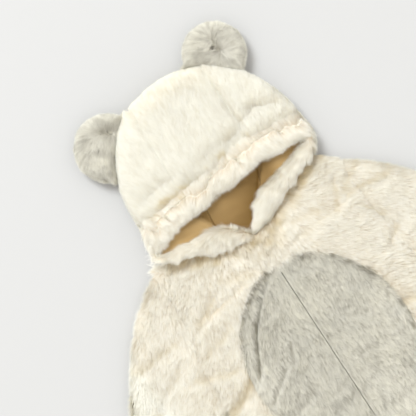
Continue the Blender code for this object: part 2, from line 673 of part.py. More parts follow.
def build_bands():
    """The mouth's edge down both sides, from the corners to the neck point."""
    for side, name, outer, inner in (
        (-1, "band_left", NECKLINE_LEFT, BAND_INNER_LEFT),
        (1, "band_right", NECKLINE_RIGHT, BAND_INNER_RIGHT),
    ):
        steps = np.linspace(0.0, len(outer) - 1.0, 2 * len(outer) - 1)
        keys = np.arange(len(outer))
        outer_line = np.array(outer)
        inner_line = np.array(inner)
        near = np.stack([np.interp(steps, keys, outer_line[:, k]) for k in (0, 1)], axis=-1)
        far = np.stack([np.interp(steps, keys, inner_line[:, k]) for k in (0, 1)], axis=-1)
        near, far = drawn_in(near, far, SEAM_GAP / 2)
        near[:, 0] = np.maximum(near[:, 0], SEAM_GAP / 2)
        near[:, 0] *= side
        far[:, 0] *= side
        reach = np.linspace(0.0, 1.0, len(steps))
        top = BAND_NECK_TOP + (BAND_TOP - BAND_NECK_TOP) * eased(reach / 0.5)
        top = LAID_GAP + (top - LAID_GAP) * rounded_ends(len(steps), 0.6, 0.5)
        bottom = np.full(len(steps), LAID_GAP)
        roll(name, roll_rings(near, far, bottom, top), "plush_cream")


def lining_height(x, y):
    """The lining lies on the back of the hood and rises to meet the bands at both sides."""
    left = mirrored(BAND_INNER_LEFT[3:], -1)
    right = BAND_INNER_RIGHT[3:]
    near = np.minimum(distance_to(x, y, left), distance_to(x, y, right))
    sides = eased((np.abs(x - 2.0) - 32.0) / 16.0)
    return LAID_GAP + LINING_RISE * sides * (1.0 - eased(near / LINING_FALL))


def lining_piece(name, bottom, top, left, right):
    """One thin wall of lining inside four plan lines."""
    plan = coons(bottom, top, left, right)
    z = lining_height(plan[..., 0], plan[..., 1])
    wall(name, np.dstack([plan, z + JERSEY]), np.dstack([plan, z]), "jersey_lining")


def build_linings():
    """The three panels of the hood's lining, as far as they show."""
    up = np.linspace(0.0, 1.0, 8)
    gap = 2.0 * SEAM_GAP
    left_seam = ((-38.0, 28.0), (-35.0, 54.0), (-42.0, LINING_TOP_Y))
    right_seam = ((30.0, 36.5), (44.0, 62.0), (42.0, LINING_TOP_Y))
    left_line = along_line(left_seam, up)
    right_line = along_line(right_seam, up)
    below = (
        (-38.0, 28.0), (-20.0, 20.0), (-13.0, 11.5), (0.0, 3.0), (11.0, 17.0), (22.0, 31.5),
        (30.0, 36.5),
    )
    bottom = along_line(below, np.linspace(0.0, 1.0, 11))
    top = along_line((left_line[-1], right_line[-1]), np.linspace(0.0, 1.0, 11))
    lining_piece("lining_center", bottom, top, left_line, right_line)
    across = np.linspace(0.0, 1.0, 8)
    for side, name, seam, rest in (
        (-1, "lining_left", left_line, ((-66.0, 27.6), (-98.0, 31.0))),
        (1, "lining_right", right_line, ((36.0, 38.5), (62.0, 45.4), (98.0, 56.0))),
    ):
        seam = seam + (side * gap, 0.0)
        low = along_line((tuple(seam[0]),) + rest, across)
        outside = along_line((rest[-1], (side * LINING_TOP_X, LINING_TOP_Y)), up)
        high = along_line((seam[-1], outside[-1]), across)
        lining_piece(name, low, high, seam, outside)


def hood_reach(angle):
    """Distance from the hood's middle to its outline in a direction."""
    outline = np.array(HOOD_OUTLINE) - HOOD_MIDDLE
    turns = np.arctan2(outline[:, 1], -outline[:, 0])
    turns = np.unwrap(turns)
    return np.interp(np.arctan2(np.sin(angle), -np.cos(angle)), turns, np.hypot(*outline.T))


def ear_outline(ear):
    """Round edge of an ear outside the hood, and its base along the hood's outline."""
    around = np.radians(np.arange(720) / 2.0)
    circle = np.stack([
        ear.center_x + ear.radius * np.cos(around),
        ear.center_y + ear.radius * np.sin(around),
    ], axis=-1)
    from_middle = circle - HOOD_MIDDLE
    angle = np.arctan2(from_middle[:, 1], from_middle[:, 0])
    outside = np.hypot(*from_middle.T) > hood_reach(angle) + EAR_BASE_GAP
    start = int(np.flatnonzero(outside & ~np.roll(outside, 1))[0])
    kept = [(start + step) % 720 for step in range(int(outside.sum()))]
    picks = np.linspace(0, len(kept) - 1, 22).round().astype(int)
    arc = circle[kept][picks]
    first = np.arctan2(*(arc[-1] - HOOD_MIDDLE)[::-1])
    last = np.arctan2(*(arc[0] - HOOD_MIDDLE)[::-1])
    turns = np.linspace(first, last, 10)[1:-1]
    reach = (hood_reach(turns) + EAR_BASE_GAP)[:, None]
    base = HOOD_MIDDLE + reach * np.stack([np.cos(turns), np.sin(turns)], axis=-1)
    return np.concatenate([arc, base])


def build_ears():
    """Round padded ears whose bases follow the hood's outline."""
    shrink = (1.0, 0.965, 0.89, 0.77, 0.6, 0.4, 0.2)
    for ear in EARS:
        outline = ear_outline(ear)
        middle = outline.mean(axis=0)
        closed = tuple(map(tuple, outline)) + (tuple(outline[0]),)
        rings_top = []
        rings_bottom = []
        for factor in shrink:
            plan = middle + (outline - middle) * factor
            edge = distance_to(plan[:, 0], plan[:, 1], closed) * (factor < 1.0)
            top = EAR_EDGE + (EAR_THICKNESS - EAR_EDGE) * rounded(edge, 20.0)
            bottom = EAR_EDGE * (1.0 - rounded(edge, 12.0))
            rings_top.append(np.column_stack([plan, top]))
            rings_bottom.append(np.column_stack([plan, bottom]))
        roll(ear.name, np.array(rings_bottom[:0:-1] + rings_top), "plush_grey")


def make_material(name, colour, roughness):
    """A plain cloth material."""
    material = bpy.data.materials.new(name)
    material.use_nodes = True
    surface = material.node_tree.nodes["Principled BSDF"]
    surface.inputs["Base Color"].default_value = colour
    surface.inputs["Roughness"].default_value = roughness
    surface.inputs["Metallic"].default_value = 0.0
    material.diffuse_color = colour
    return material


def place_pieces(collection):
    """Turn the point lists into mesh objects, with the origin under the suit's middle."""
    materials = {
        "plush_cream": make_material("plush_cream", CREAM, 0.95),
        "plush_grey": make_material("plush_grey", GREY, 0.95),
        "jersey_lining": make_material("jersey_lining", LINING, 0.85),
    }
    every = np.concatenate([points for _, points, _, _ in pieces])
    low = every.min(axis=0)
    high = every.max(axis=0)
    origin = np.array(((low[0] + high[0]) / 2, (low[1] + high[1]) / 2, low[2]))
    for name, points, faces, material in pieces:
        mesh = bpy.data.meshes.new(name)
        mesh.from_pydata(((points - origin) * MM).tolist(), [], faces)
        solid = bmesh.new()
        solid.from_mesh(mesh)
        bmesh.ops.recalc_face_normals(solid, faces=solid.faces)
        bmesh.ops.triangulate(solid, faces=solid.faces)
        solid.to_mesh(mesh)
        solid.free()
        mesh.materials.append(materials[material])
        mesh.shade_smooth()
        mesh.set_sharp_from_angle(angle=np.radians(50.0))
        thing = bpy.data.objects.new(name, mesh)
        collection.objects.link(thing)


def main():
    clear_scene()
    collection = bpy.data.collections.new(NAME)
    bpy.context.scene.collection.children.link(collection)
    build_backs()
    build_fronts()
    build_patches()
    build_sleeves()
    build_hood_center()
    build_hood_sides()
    build_brim()
    build_bands()
    build_linings()
    build_ears()
    place_pieces(collection)


main()
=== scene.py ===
"""Looks of the hooded plush sleepsuit: backing cloth, pile, ears, jersey lining and stage."""
from collections import namedtuple

import bpy
import numpy as np
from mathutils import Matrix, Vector


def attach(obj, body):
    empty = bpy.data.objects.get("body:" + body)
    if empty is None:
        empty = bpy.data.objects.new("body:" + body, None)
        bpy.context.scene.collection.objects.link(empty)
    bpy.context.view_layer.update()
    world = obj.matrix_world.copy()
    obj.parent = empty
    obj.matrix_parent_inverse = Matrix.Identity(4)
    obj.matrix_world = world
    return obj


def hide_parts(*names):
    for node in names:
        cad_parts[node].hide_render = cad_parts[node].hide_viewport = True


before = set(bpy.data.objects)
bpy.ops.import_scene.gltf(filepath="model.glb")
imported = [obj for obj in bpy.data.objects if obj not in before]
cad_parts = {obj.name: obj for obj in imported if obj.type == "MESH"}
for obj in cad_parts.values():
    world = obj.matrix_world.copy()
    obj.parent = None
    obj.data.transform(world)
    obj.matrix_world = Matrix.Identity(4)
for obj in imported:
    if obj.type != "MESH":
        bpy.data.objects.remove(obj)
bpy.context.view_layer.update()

bl_info = {
    "name": "Hooded plush sleepsuit",
    "version": (1, 0, 0),
    "blender": (4, 5, 0),
    "location": "View3D > Sidebar > Sleepsuit",
    "description": "Builds the cloth, pile, ears and lining of a hooded plush sleepsuit laid flat",
    "category": "Add Mesh",
}

MM = 0.001
ROOT = "root"

# Cloth, in millimetres as all the plan below
PLUSH = 9.0
JERSEY = 1.5
SEAM_GAP = 0.3
EDGE_RIM = 1.5
BACK_TOP = PLUSH
LAID_GAP = BACK_TOP + SEAM_GAP
BACKING_DEPTH = 0.66  # share of a plush wall that is pile

# Body
FRONT_HEIGHT = 22.5
BELLY_RISE = 4.0
BELLY_MIDDLE = (0.0, -190.0)
HOLLOW_RISE = 3.0
TOP_ROUND = 20.0
BOTTOM_ROUND = 13.0
SEAM_ROUND = 6.0
SEAM_DIP = 2.6
BODY_LEAN = 0.02
LEAN_START = 20.0
CROTCH_Y = -385.0
HEM_Y = -560.0

# At the leg hems the panels keep the height that they have this far inside a free edge
FRONT_HEM = 8.0
BACK_HEM = 6.0

# Rows of the panels' grids between those at their corners, and columns as shares of the width
CHEST_ROWS = (-30.0, -40.0, -320.0, -340.0, -360.0)
LEG_ROWS = (-430.0, -475.0, -505.0, -532.0)
FRONT_COLUMNS = (0.0, 0.04, 0.1, 0.2, 0.33, 0.46, 0.59, 0.72, 0.83, 0.92, 0.97, 1.0)
PATCH_COLUMNS = (0.0, 0.04, 0.1, 0.22, 0.36, 0.5, 0.64, 0.78, 0.9, 0.96, 1.0)
BACK_COLUMNS = (0.0, 0.12, 0.3, 0.5, 0.7, 0.84, 0.94, 1.0)

# Tummy patch
PATCH_HALF_WIDTH = 103.0
PATCH_HALF_LENGTH = 128.0
PATCH_CENTER_Y = -178.0

# Hood
HOOD_HEIGHT = 33.0
HOOD_RISE = 4.0
DOME_MIDDLE = (4.0, 120.0)
HOOD_EDGE = 15.0
HOOD_ROUND = 24.0
HOOD_TIP_Y = 190.0
TOP_SEAM_X = 50.0
BACK_SEAM_X = 38.0
BACK_NECK_Y = 16.0
INNER_INSET = 9.5
HOOD_MIDDLE = (0.0, 105.0)
FAR_FROM_SEAM = 50.0  # where no seam dips the cloth

# Shares up the hood's panels, and out across its side panels, closer together at their edge
HOOD_UP = np.linspace(0.0, 1.0, 44)
SIDE_OUT = 1.0 - (1.0 - np.linspace(0.0, 1.0, 26)) ** 1.7

# Brim and bands
BRIM_TOP = 38.0
BRIM_BOTTOM = 17.0
BAND_TOP = 33.0
BAND_NECK_TOP = 27.0
ROLL_SIDES = 28
BRIM_END_TOPS = (24.0, 33.0)  # at the last stations of both ends, from the end in
BRIM_END_BOTTOMS = (8.0, 13.0)
BAND_END_SHARES = (0.95, 0.88, 0.8, 0.7)  # of the band's height, towards its outer end

# Lining
LINING_TOP_X = 85.0
LINING_TOP_Y = 118.0
LEFT_RISE = 10.5  # where it folds up at the left of the mouth
RIGHT_RISE = 9.0
LINING_LIFT = 0.6
FACING_GAP = 0.3

# Ears
EAR_THICKNESS = 27.0
EAR_EDGE = 13.0
EAR_BASE_GAP = 0.5
EAR_FILL = 0.7

# An ear's round and the parting in its pile, from one point to another
Ear = namedtuple("Ear", "name center_x center_y radius part_x part_y part_end_x part_end_y")
EARS = (
    Ear("ear_left", -98.0, 175.0, 40.0, -97.0, 197.0, -84.0, 187.0),
    Ear("ear_right", 72.0, 203.0, 38.0, 78.0, 216.0, 79.0, 202.0),
)

# A crease runs straight from one point to another; its depth is negative for a trough
Crease = namedtuple("Crease", "x0 y0 x1 y1 half_width depth")


def creases_of(*rows):
    """Creases from rows of their values."""
    return tuple(Crease(*row) for row in rows)


BODY_CREASES = creases_of(
    (-106.0, 10.0, -62.0, 2.0, 9.0, -7.0),
    (-62.0, 2.0, -34.0, -12.0, 8.0, -6.5),
    (100.0, 26.0, 58.0, 14.0, 7.0, -4.0),
    (58.0, 14.0, 26.0, -6.0, 7.0, -5.0),
    (-114.0, -60.0, -84.0, -42.0, 9.0, -4.4),
    (-98.0, -60.0, -50.0, -48.0, 8.0, -3.8),
    (-62.0, -30.0, -22.0, -44.0, 12.0, -3.6),
    (-120.0, -28.0, -52.0, -34.0, 14.0, 2.6),
    (96.0, -28.0, 106.0, -2.0, 6.0, -5.0),
    (112.0, -24.0, 168.0, -26.0, 8.0, -4.6),
    (112.0, -16.0, 140.0, 2.0, 8.0, -4.0),
    (40.0, -34.0, 92.0, -30.0, 12.0, -3.0),
    (30.0, -8.0, 70.0, -20.0, 10.0, -3.2),
    (122.0, -47.0, 138.0, -64.0, 6.0, -4.6),
    (128.0, -98.0, 144.0, -86.0, 8.0, -4.4),
    (-146.0, -184.0, -98.0, -155.0, 12.0, -7.0),
    (-120.0, -96.0, -84.0, -84.0, 12.0, -3.4),
    (-150.0, -118.0, -104.0, -132.0, 11.0, -4.0),
    (-206.0, -70.0, -150.0, -64.0, 11.0, -4.0),
    (-186.0, -104.0, -160.0, -96.0, 10.0, -3.0),
    (150.0, -190.0, 108.0, -168.0, 12.0, -5.4),
    (-150.0, -330.0, -70.0, -352.0, 12.0, -5.0),
    (152.0, -322.0, 62.0, -356.0, 12.0, -5.2),
    (-120.0, -452.0, -56.0, -430.0, 12.0, -4.8),
    (138.0, -470.0, 64.0, -436.0, 11.0, -4.6),
    (206.0, -130.0, 236.0, -176.0, 11.0, -4.6),
    (-214.0, -126.0, -232.0, -182.0, 11.0, -4.4),
)
PATCH_CREASES = creases_of(
    (-86.0, -150.0, -74.0, -122.0, 4.5, -6.5),
    (-74.0, -122.0, -58.0, -96.0, 4.5, -6.5),
    (-58.0, -96.0, -26.0, -64.0, 4.5, -5.0),
    (-92.0, -188.0, -58.0, -160.0, 6.0, -4.4),
    (-48.0, -166.0, -36.0, -136.0, 5.0, -4.0),
    (-60.0, -104.0, -36.0, -96.0, 7.0, -2.6),
    (20.0, -70.0, 44.0, -78.0, 10.0, -2.4),
    (48.0, -108.0, 66.0, -124.0, 8.0, -2.6),
    (72.0, -164.0, 88.0, -182.0, 7.0, -3.6),
    (30.0, -192.0, 92.0, -198.0, 12.0, -3.0),
    (34.0, -140.0, 60.0, -152.0, 9.0, -2.4),
    (-86.0, -214.0, -40.0, -200.0, 14.0, -3.6),
    (-30.0, -236.0, 10.0, -228.0, 16.0, -2.8),
    (-70.0, -268.0, 66.0, -262.0, 14.0, -3.0),
)
HOOD_CREASES = creases_of(
    (-18.0, 95.0, 30.0, 102.0, 9.0, -2.2),
    (30.0, 100.0, 62.0, 114.0, 8.0, -2.2),
    (50.0, 186.0, 53.0, 112.0, 5.0, -2.4),
    (-60.0, 118.0, -34.0, 104.0, 14.0, 2.0),
    (78.0, 120.0, 104.0, 108.0, 8.0, -2.8),
    (-92.0, 92.0, -60.0, 98.0, 9.0, -1.8),
)

LINING_CREASES = creases_of(
    (16.0, 56.0, 33.0, 40.0, 3.5, -1.6),
    (4.0, 52.0, 28.0, 47.0, 4.0, 1.2),
    (-20.0, 54.0, 4.0, 30.0, 7.0, 1.0),
    (-10.0, 24.0, 10.0, 22.0, 5.0, 0.8),
    (62.0, 64.0, 92.0, 60.0, 4.0, -1.4),
    (-100.0, 38.0, -70.0, 34.0, 4.0, -1.4),
    (-84.0, 44.0, -56.0, 40.0, 4.0, 1.2),
)

# Plan lines of the right half of the body
SHOULDER_POINT = (128.0, 19.0)
UNDERARM_POINT = (143.0, -172.0)
ARMHOLE = (
    SHOULDER_POINT, (128.0, 10.0), (128.6, -8.0), (130.4, -35.0), (135.5, -68.0), (141.0, -98.0),
    (144.4, -124.0), (144.8, -145.0), (144.2, -160.0), (143.4, -168.0), UNDERARM_POINT,
)
SIDE_SEAM = (UNDERARM_POINT, (147.0, -250.0), (154.0, -340.0), (160.0, -450.0), (164.0, HEM_Y))
INSEAM = ((0.0, CROTCH_Y), (12.0, -405.0), (30.0, -455.0), (58.0, HEM_Y))
SLEEVE_OUTER = (
    SHOULDER_POINT, (140.0, 12.0), (160.0, -2.0), (180.0, -20.0), (200.0, -41.0),
    (220.0, -68.0), (240.0, -98.0), (262.0, -134.0), (285.0, -172.0),
)
SLEEVE_INNER = (UNDERARM_POINT, (172.0, -196.0), (208.0, -221.0))
SLEEVE_ROWS = 43
SLEEVE_HOLLOW = 12.5
CUFF_FALL = 3.0

# Necklines, shoulders and the bands' inner edges, from the neck point out
NECKLINE_RIGHT = (
    (0.0, -8.0), (30.0, 0.0), (45.0, 9.0), (60.0, 18.0), (83.0, 28.0), (106.0, 37.0),
)
NECKLINE_LEFT = (
    (0.0, -8.0), (30.0, -6.0), (50.0, 0.0), (66.0, 7.0), (83.0, 12.0), (104.0, 20.5),
)
SHOULDER_RIGHT = ((106.0, 37.0), (118.0, 27.0), SHOULDER_POINT)
SHOULDER_LEFT = ((104.0, 20.5), (116.0, 20.0), SHOULDER_POINT)
BAND_INNER_RIGHT = (
    (2.0, 1.0), (11.0, 14.0), (22.0, 29.0), (36.0, 37.0), (62.0, 44.0), (106.0, 57.0),
)
BAND_INNER_LEFT = (
    (2.0, 1.0), (13.0, 9.0), (20.0, 18.0), (40.0, 27.0), (66.0, 26.5), (108.0, 31.0),
)

# The hood's outline, from its lower left over the crown to its lower right
HOOD_OUTLINE = (
    (-106.0, 24.0), (-114.0, 29.0), (-119.0, 37.0), (-118.0, 52.0), (-116.0, 72.0),
    (-115.0, 98.0), (-112.0, 119.0), (-105.0, 139.0), (-95.0, 158.0), (-80.0, 177.0),
    (-62.0, 193.0), (-42.0, 203.0), (-20.0, 208.0), (0.0, 210.0), (20.0, 208.0),
    (40.0, 202.0), (58.0, 191.5), (76.0, 177.0), (94.0, 160.0), (106.0, 140.0),
    (114.0, 121.0), (119.0, 103.0), (122.0, 89.0), (124.0, 70.0), (120.0, 55.0),
    (108.0, 42.0),
)

# Points of the outline where the brim's groove meets it, and where the side panels end
LEFT_RIM_INDEX = 4
LEFT_TIP_INDEX = 10
RIGHT_TIP_INDEX = 16
RIGHT_RIM_INDEX = 22

# The brim at some places across the mouth: its upper and its lower line
BrimStation = namedtuple("BrimStation", "groove_x groove_y lower_x lower_y")
BRIM = tuple(BrimStation(*row) for row in (
    (-116.0, 72.0, -119.0, 37.0),
    (-108.0, 73.0, -110.0, 41.0),
    (-94.0, 74.5, -96.0, 43.5),
    (-72.0, 77.0, -74.0, 48.0),
    (-50.0, 79.5, -52.0, 51.5),
    (-30.0, 81.5, -31.0, 53.5),
    (-10.0, 83.5, -11.0, 56.0),
    (10.0, 86.5, 9.0, 58.0),
    (30.0, 91.0, 29.0, 62.0),
    (50.0, 93.5, 48.0, 63.5),
    (72.0, 92.0, 71.0, 61.5),
    (94.0, 91.0, 94.0, 62.0),
    (110.0, 90.0, 111.0, 60.0),
    (122.0, 89.0, 123.0, 64.0),
))

# Where the bands' outer and inner lines go on beyond the neckline and BAND_INNER, on each side
BAND_ENDS = {
    -1: (((113.0, 26.0), (118.5, 34.0)), ((112.0, 34.0), (114.0, 42.0))),
    1: (((117.0, 46.0), (121.0, 58.0)), ((113.0, 57.5), (116.5, 65.0))),
}

# How the brim's ends turn down: its upper line, its lower line and the lower line before that
BRIM_LEFT_TURN = ((-3.0, -6.0), (-2.0, -5.0), (0.0, -3.0))
BRIM_RIGHT_TURN = ((-0.8, -4.5), (-2.0, -6.0), (2.0, -1.5))

# Seams of the lining, and its line along the neck
LINING_LEFT_SEAM = ((-38.0, 21.0), (-35.0, 54.0), (-42.0, LINING_TOP_Y))
LINING_RIGHT_SEAM = ((32.0, 29.5), (44.0, 62.0), (42.0, LINING_TOP_Y))
LINING_FRONT = (
    LINING_LEFT_SEAM[0], (-22.0, 13.0), (-16.0, 5.0), (0.0, -4.0), (15.0, 10.0), (27.0, 25.0),
    LINING_RIGHT_SEAM[0],
)

# Where the lining folds up at both sides of the mouth
LEFT_FOLD = ((-54.0, 51.0), (-46.0, 44.0), (-39.0, 31.0), (-34.0, 16.0))
RIGHT_FOLD = ((26.0, 24.0), (31.0, 38.0), (41.0, 52.0), (48.0, 66.0), (54.0, 90.0))

# The neck point in the part's frame, from the middle of the part's box on the plan
PLAN_LOW = (-281.96, -560.0)
PLAN_HIGH = (288.04, 242.86)
ORIGIN = np.array((
    (PLAN_LOW[0] + PLAN_HIGH[0]) / 2,
    (PLAN_LOW[1] + PLAN_HIGH[1]) / 2,
    0.0,
))

# Pile
MOST_LOCKS = 190000  # on one piece
MOST_WIDENING = 1.8  # of a lock where locks are sparse
FRINGE = 3.2  # how far locks stand out at an edge
RISE_RANGE = (2.4, 8.0)  # of a tip over its root
LOWEST = 0.15  # height of any point above the surface
STRAND_DRAW = 0.65  # how far roots move together, so that strands come out long
THROUGH_SHARE = 0.4  # of the light that a blade lets through
UNDER_WEIGHT = 0.09  # how dense the pile is under the suit, beside its upper side
END_THINNING = 0.62  # how much it thins out at the legs and cuffs
ROLL_PILE = 5.0  # its depth on the brim and bands
ROLL_END = 4.0  # how long their rounded ends are
NECK_POINT = (8.0, -14.0)  # the middle of the deep pile where the two bands meet

# Beside the front closing the pile is parted
PARTED_WITHIN = 14.0
PARTED_BELOW = -58.0
PARTED_GAP = 0.8

# Salts that keep the pile's noise fields apart
LIFT_SALT = 94
RUFFLE_SALT = 95
SWIRL_SALT = 96
SMALL_SWIRL_SALT = 97
TUFT_SALT = 98
STRAND_SALT = 99

# How the pile of a piece lies. Density and length are shares of the settings. Ragged is how much
# the length varies, flat how far up the roots start, stand and lift how much the tips rise and
# how much that varies, swirl how far the lie wanders, tuft and strand how far tips gather, tone
# how much the colour varies, pale how light a root is, parted if the closing parts it, and
# calmed how much smoother it is where it is sparse
PileStyle = namedtuple(
    "PileStyle", "density length ragged flat stand swirl lift tuft strand tone pale parted calmed")
BODY_PILE = PileStyle(
    density=1.0, length=1.1, ragged=0.1, flat=0.0, stand=0.9, swirl=0.5, lift=0.24,
    tuft=0.8, strand=0.36, tone=1.4, pale=0.1, parted=False, calmed=1.0)
SMOOTH_PILE = BODY_PILE._replace(
    density=1.15, length=1.0, flat=0.42, swirl=0.45, lift=0.16,
    tuft=0.6, strand=0.4, tone=1.0, pale=0.55)
FRONT_PILE = BODY_PILE._replace(parted=True)
PATCH_PILE = FRONT_PILE._replace(
    length=0.9, ragged=0.08, swirl=0.3, lift=0.2, tuft=0.7, strand=0.32, tone=1.7, pale=0.05)
EDGE_PILE = BODY_PILE._replace(
    density=1.1, length=1.25, ragged=0.12, stand=0.95, swirl=0.6, lift=0.4,
    tuft=0.6, strand=0.34, tone=1.9, pale=0.15, calmed=0.0)
BAND_PILE = EDGE_PILE._replace(length=1.4, ragged=0.2)
EAR_PILE = EDGE_PILE._replace(
    density=1.25, length=0.95, flat=0.4, stand=0.85, swirl=0.1, lift=0.2,
    tuft=0.2, strand=0.3, tone=1.7, pale=0.1)

# Stitches of the lining
STITCH_STEP = 2.6
STITCH_LENGTH = 1.9
STITCH_THICKNESS = 0.45
STITCHES_FROM_SEAM = 2.0

# Camera: the photograph looks straight down, with the suit turned on the surface
PHOTO_TURN = np.radians(32.1)
PHOTO_MIDDLE = (-33.0, 49.1)
PHOTO_SPAN = 499.2
CAMERA_HEIGHT = 1600.0
CAMERA_AIM_Z = 22.0
SENSOR_WIDTH = 36.0
CAMERA_REACH = 20.0  # metres

# Light: a key on the photograph's upper left, placed in metres from its aim, and a surround
KEY_AIM = (0.0, 60.0, 20.0)
KEY_LEFT = 3.15
KEY_UP = 3.0
KEY_HEIGHT = 5.0
KEY_SIZE = 2.8  # metres
KEY_POWER = 387.0  # watts
KEY_COLOUR = (0.955, 0.978, 0.995)
SURROUND_COLOUR = (1.0, 0.975, 0.93)
SURROUND_STRENGTH = 1.06
DIFFUSE_BOUNCES = 12
MOST_BOUNCES = 16

# Floor, in millimetres
FLOOR_HALF = 9000.0
FLOOR_DROP = 0.2


class SleepsuitLooks(bpy.types.PropertyGroup):
    """Sizes and colours that a user would change."""

    pile_length: bpy.props.FloatProperty(
        name="Pile length", description="Length of a lock of pile", default=0.0105,
        unit="LENGTH", min=0.002, max=0.03)
    lock_width: bpy.props.FloatProperty(
        name="Lock width", description="Width of a lock of pile at its root", default=0.00062,
        unit="LENGTH", min=0.0003, max=0.005)
    tuft_size: bpy.props.FloatProperty(
        name="Tuft size", description="Distance between the tufts that the locks lean into",
        default=0.0055, unit="LENGTH", min=0.001, max=0.02)
    tuft_pull: bpy.props.FloatProperty(
        name="Tuft pull", description="How far the lock tips gather into tufts", default=0.45,
        subtype="FACTOR", min=0.0, max=1.0)
    pile_density: bpy.props.FloatProperty(
        name="Pile density", description="Locks on a square millimetre of the upper side",
        default=3.0, min=0.05, max=6.0)
    cream_tip: bpy.props.FloatVectorProperty(
        name="Cream tips", description="Colour of the cream pile at its tips",
        default=(0.918, 0.932, 0.925), subtype="COLOR", min=0.0, max=1.0)
    cream_root: bpy.props.FloatVectorProperty(
        name="Cream roots", description="Colour of the cream pile at its roots",
        default=(0.74, 0.605, 0.39), subtype="COLOR", min=0.0, max=1.0)
    grey_tip: bpy.props.FloatVectorProperty(
        name="Grey tips", description="Colour of the grey pile at its tips",
        default=(0.85, 0.845, 0.79), subtype="COLOR", min=0.0, max=1.0)
    grey_root: bpy.props.FloatVectorProperty(
        name="Grey roots", description="Colour of the grey pile at its roots",
        default=(0.50, 0.475, 0.415), subtype="COLOR", min=0.0, max=1.0)
    lining: bpy.props.FloatVectorProperty(
        name="Lining", description="Colour of the jersey lining",
        default=(0.63, 0.446, 0.216), subtype="COLOR", min=0.0, max=1.0)
    lining_shade: bpy.props.FloatVectorProperty(
        name="Lining shade", description="Tint of the lining deep inside the hood",
        default=(0.252, 0.199, 0.112), subtype="COLOR", min=0.0, max=1.0)
    floor: bpy.props.FloatVectorProperty(
        name="Floor", description="Colour of the plain surface",
        default=(0.508, 0.511, 0.512), subtype="COLOR", min=0.0, max=1.0)


def looks():
    """The scene's own settings."""
    return bpy.context.scene.sleepsuit_looks


# Plan and height helpers


def rounded(distance, radius):
    """A quarter circle: 0 at an edge, 1 once a point is a radius inside it."""
    share = np.clip(distance / radius, 0.0, 1.0)
    return np.sqrt(1.0 - (1.0 - share) ** 2)


def eased(value):
    """A smooth step from 0 to 1."""
    share = np.clip(value, 0.0, 1.0)
    return share * share * (3.0 - 2.0 * share)


def denser(values, steps):
    """Sorted values with more of them between each pair."""
    values = np.asarray(values, dtype=float)
    keys = np.arange(len(values))
    wanted = np.linspace(0.0, len(values) - 1.0, (len(values) - 1) * steps + 1)
    return np.interp(wanted, keys, values)


def distance_to(x, y, line):
    """Shortest plan distance from each point to a broken line."""
    best = np.full(np.shape(x), 1e6)
    for (x0, y0), (x1, y1) in zip(line[:-1], line[1:]):
        run_x = x1 - x0
        run_y = y1 - y0
        length = max(run_x ** 2 + run_y ** 2, 1e-9)
        along = np.clip(((x - x0) * run_x + (y - y0) * run_y) / length, 0.0, 1.0)
        best = np.minimum(best, np.hypot(x - x0 - along * run_x, y - y0 - along * run_y))
    return best


def travelled(points):
    """Distance from the first point to each point of a broken line."""
    steps = np.linalg.norm(np.diff(points, axis=0), axis=1)
    return np.concatenate([[0.0], np.cumsum(steps)])


def along_line(line, shares):
    """Points at the given shares of a broken line's length."""
    points = np.array(line, dtype=float)
    reach = travelled(points)
    wanted = np.asarray(shares) * reach[-1]
    return np.stack([np.interp(wanted, reach, points[:, axis]) for axis in (0, 1)], axis=-1)


def mirrored(line, side):
    """A plan line on the given side: 1 keeps it, -1 mirrors it in the closing line."""
    return tuple((side * x, y) for x, y in line)


def nearest(x, y, side, *lines):
    """Shortest plan distance to lines of the right half, put on the given side."""
    return np.min([distance_to(x, y, mirrored(line, side)) for line in lines], axis=0)


def crease_share(x, y, crease, above=0.62, below=1.5):
    """How far a point lies in a crease, from 0 to 1: steep above the line, gentle below it."""
    run_x = crease.x1 - crease.x0
    run_y = crease.y1 - crease.y0
    across = (run_x * (y - crease.y0) - run_y * (x - crease.x0)) * (1.0 if run_x > 0.0 else -1.0)
    reach = distance_to(x, y, ((crease.x0, crease.y0), (crease.x1, crease.y1)))
    width = crease.half_width * np.where(across > 0.0, above, below)
    return np.exp(-((reach / width) ** 2))


def crease_height(x, y, creases):
    """Soft troughs and ridges along short straight lines."""
    return sum(crease.depth * crease_share(x, y, crease) for crease in creases)


def crease_painted_shade(x, y, creases):
    """How deep a point lies on the steep side of a trough, from 0 to 1: the strength of the painted
    shade in creases.
    """
    troughs = [crease for crease in creases if crease.depth < 0.0]
    depth = sum(-crease.depth * crease_share(x, y, crease, 0.9, 0.4) for crease in troughs)
    return eased(depth / 8.0)


def lean(x, y):
    """The body lies turned a little from the hood's line."""
    return x + BODY_LEAN * np.maximum(0.0, -LEAN_START - y)


def stacked(x, y, z):
    """Points from three arrays, with the body's lean."""
    return np.stack([lean(x, y), y, z], axis=-1)


def joined(grid):
    """A closed grid with its first column again after its last."""
    return np.concatenate([grid, grid[:, :1]], axis=1)


def coons(bottom, top, left, right):
    """Plan grid inside four boundary lines given as point arrays that share their corners."""
    v = np.linspace(0.0, 1.0, len(left))[:, None, None]
    u = np.linspace(0.0, 1.0, len(bottom))[None, :, None]
    across = (1 - u) * left[:, None] + u * right[:, None]
    up = (1 - v) * bottom[None] + v * top[None]
    corners = (
        (1 - u) * (1 - v) * bottom[0] + u * (1 - v) * bottom[-1]
        + (1 - u) * v * top[0] + u * v * top[-1]
    )
    return across + up - corners


# Random but repeatable fields

HASH_SIZE = 1 << 16
HASH_VECTORS = np.random.default_rng(7).uniform(-1.0, 1.0, (HASH_SIZE, 4))


def cell_values(cells, salt):
    """Four random values for each whole-number cell."""
    folded = (cells[..., 0] * 73856093) ^ (cells[..., 1] * 19349663) ^ (cells[..., 2] * 83492791)
    return HASH_VECTORS[(folded + salt * 7919) % HASH_SIZE]


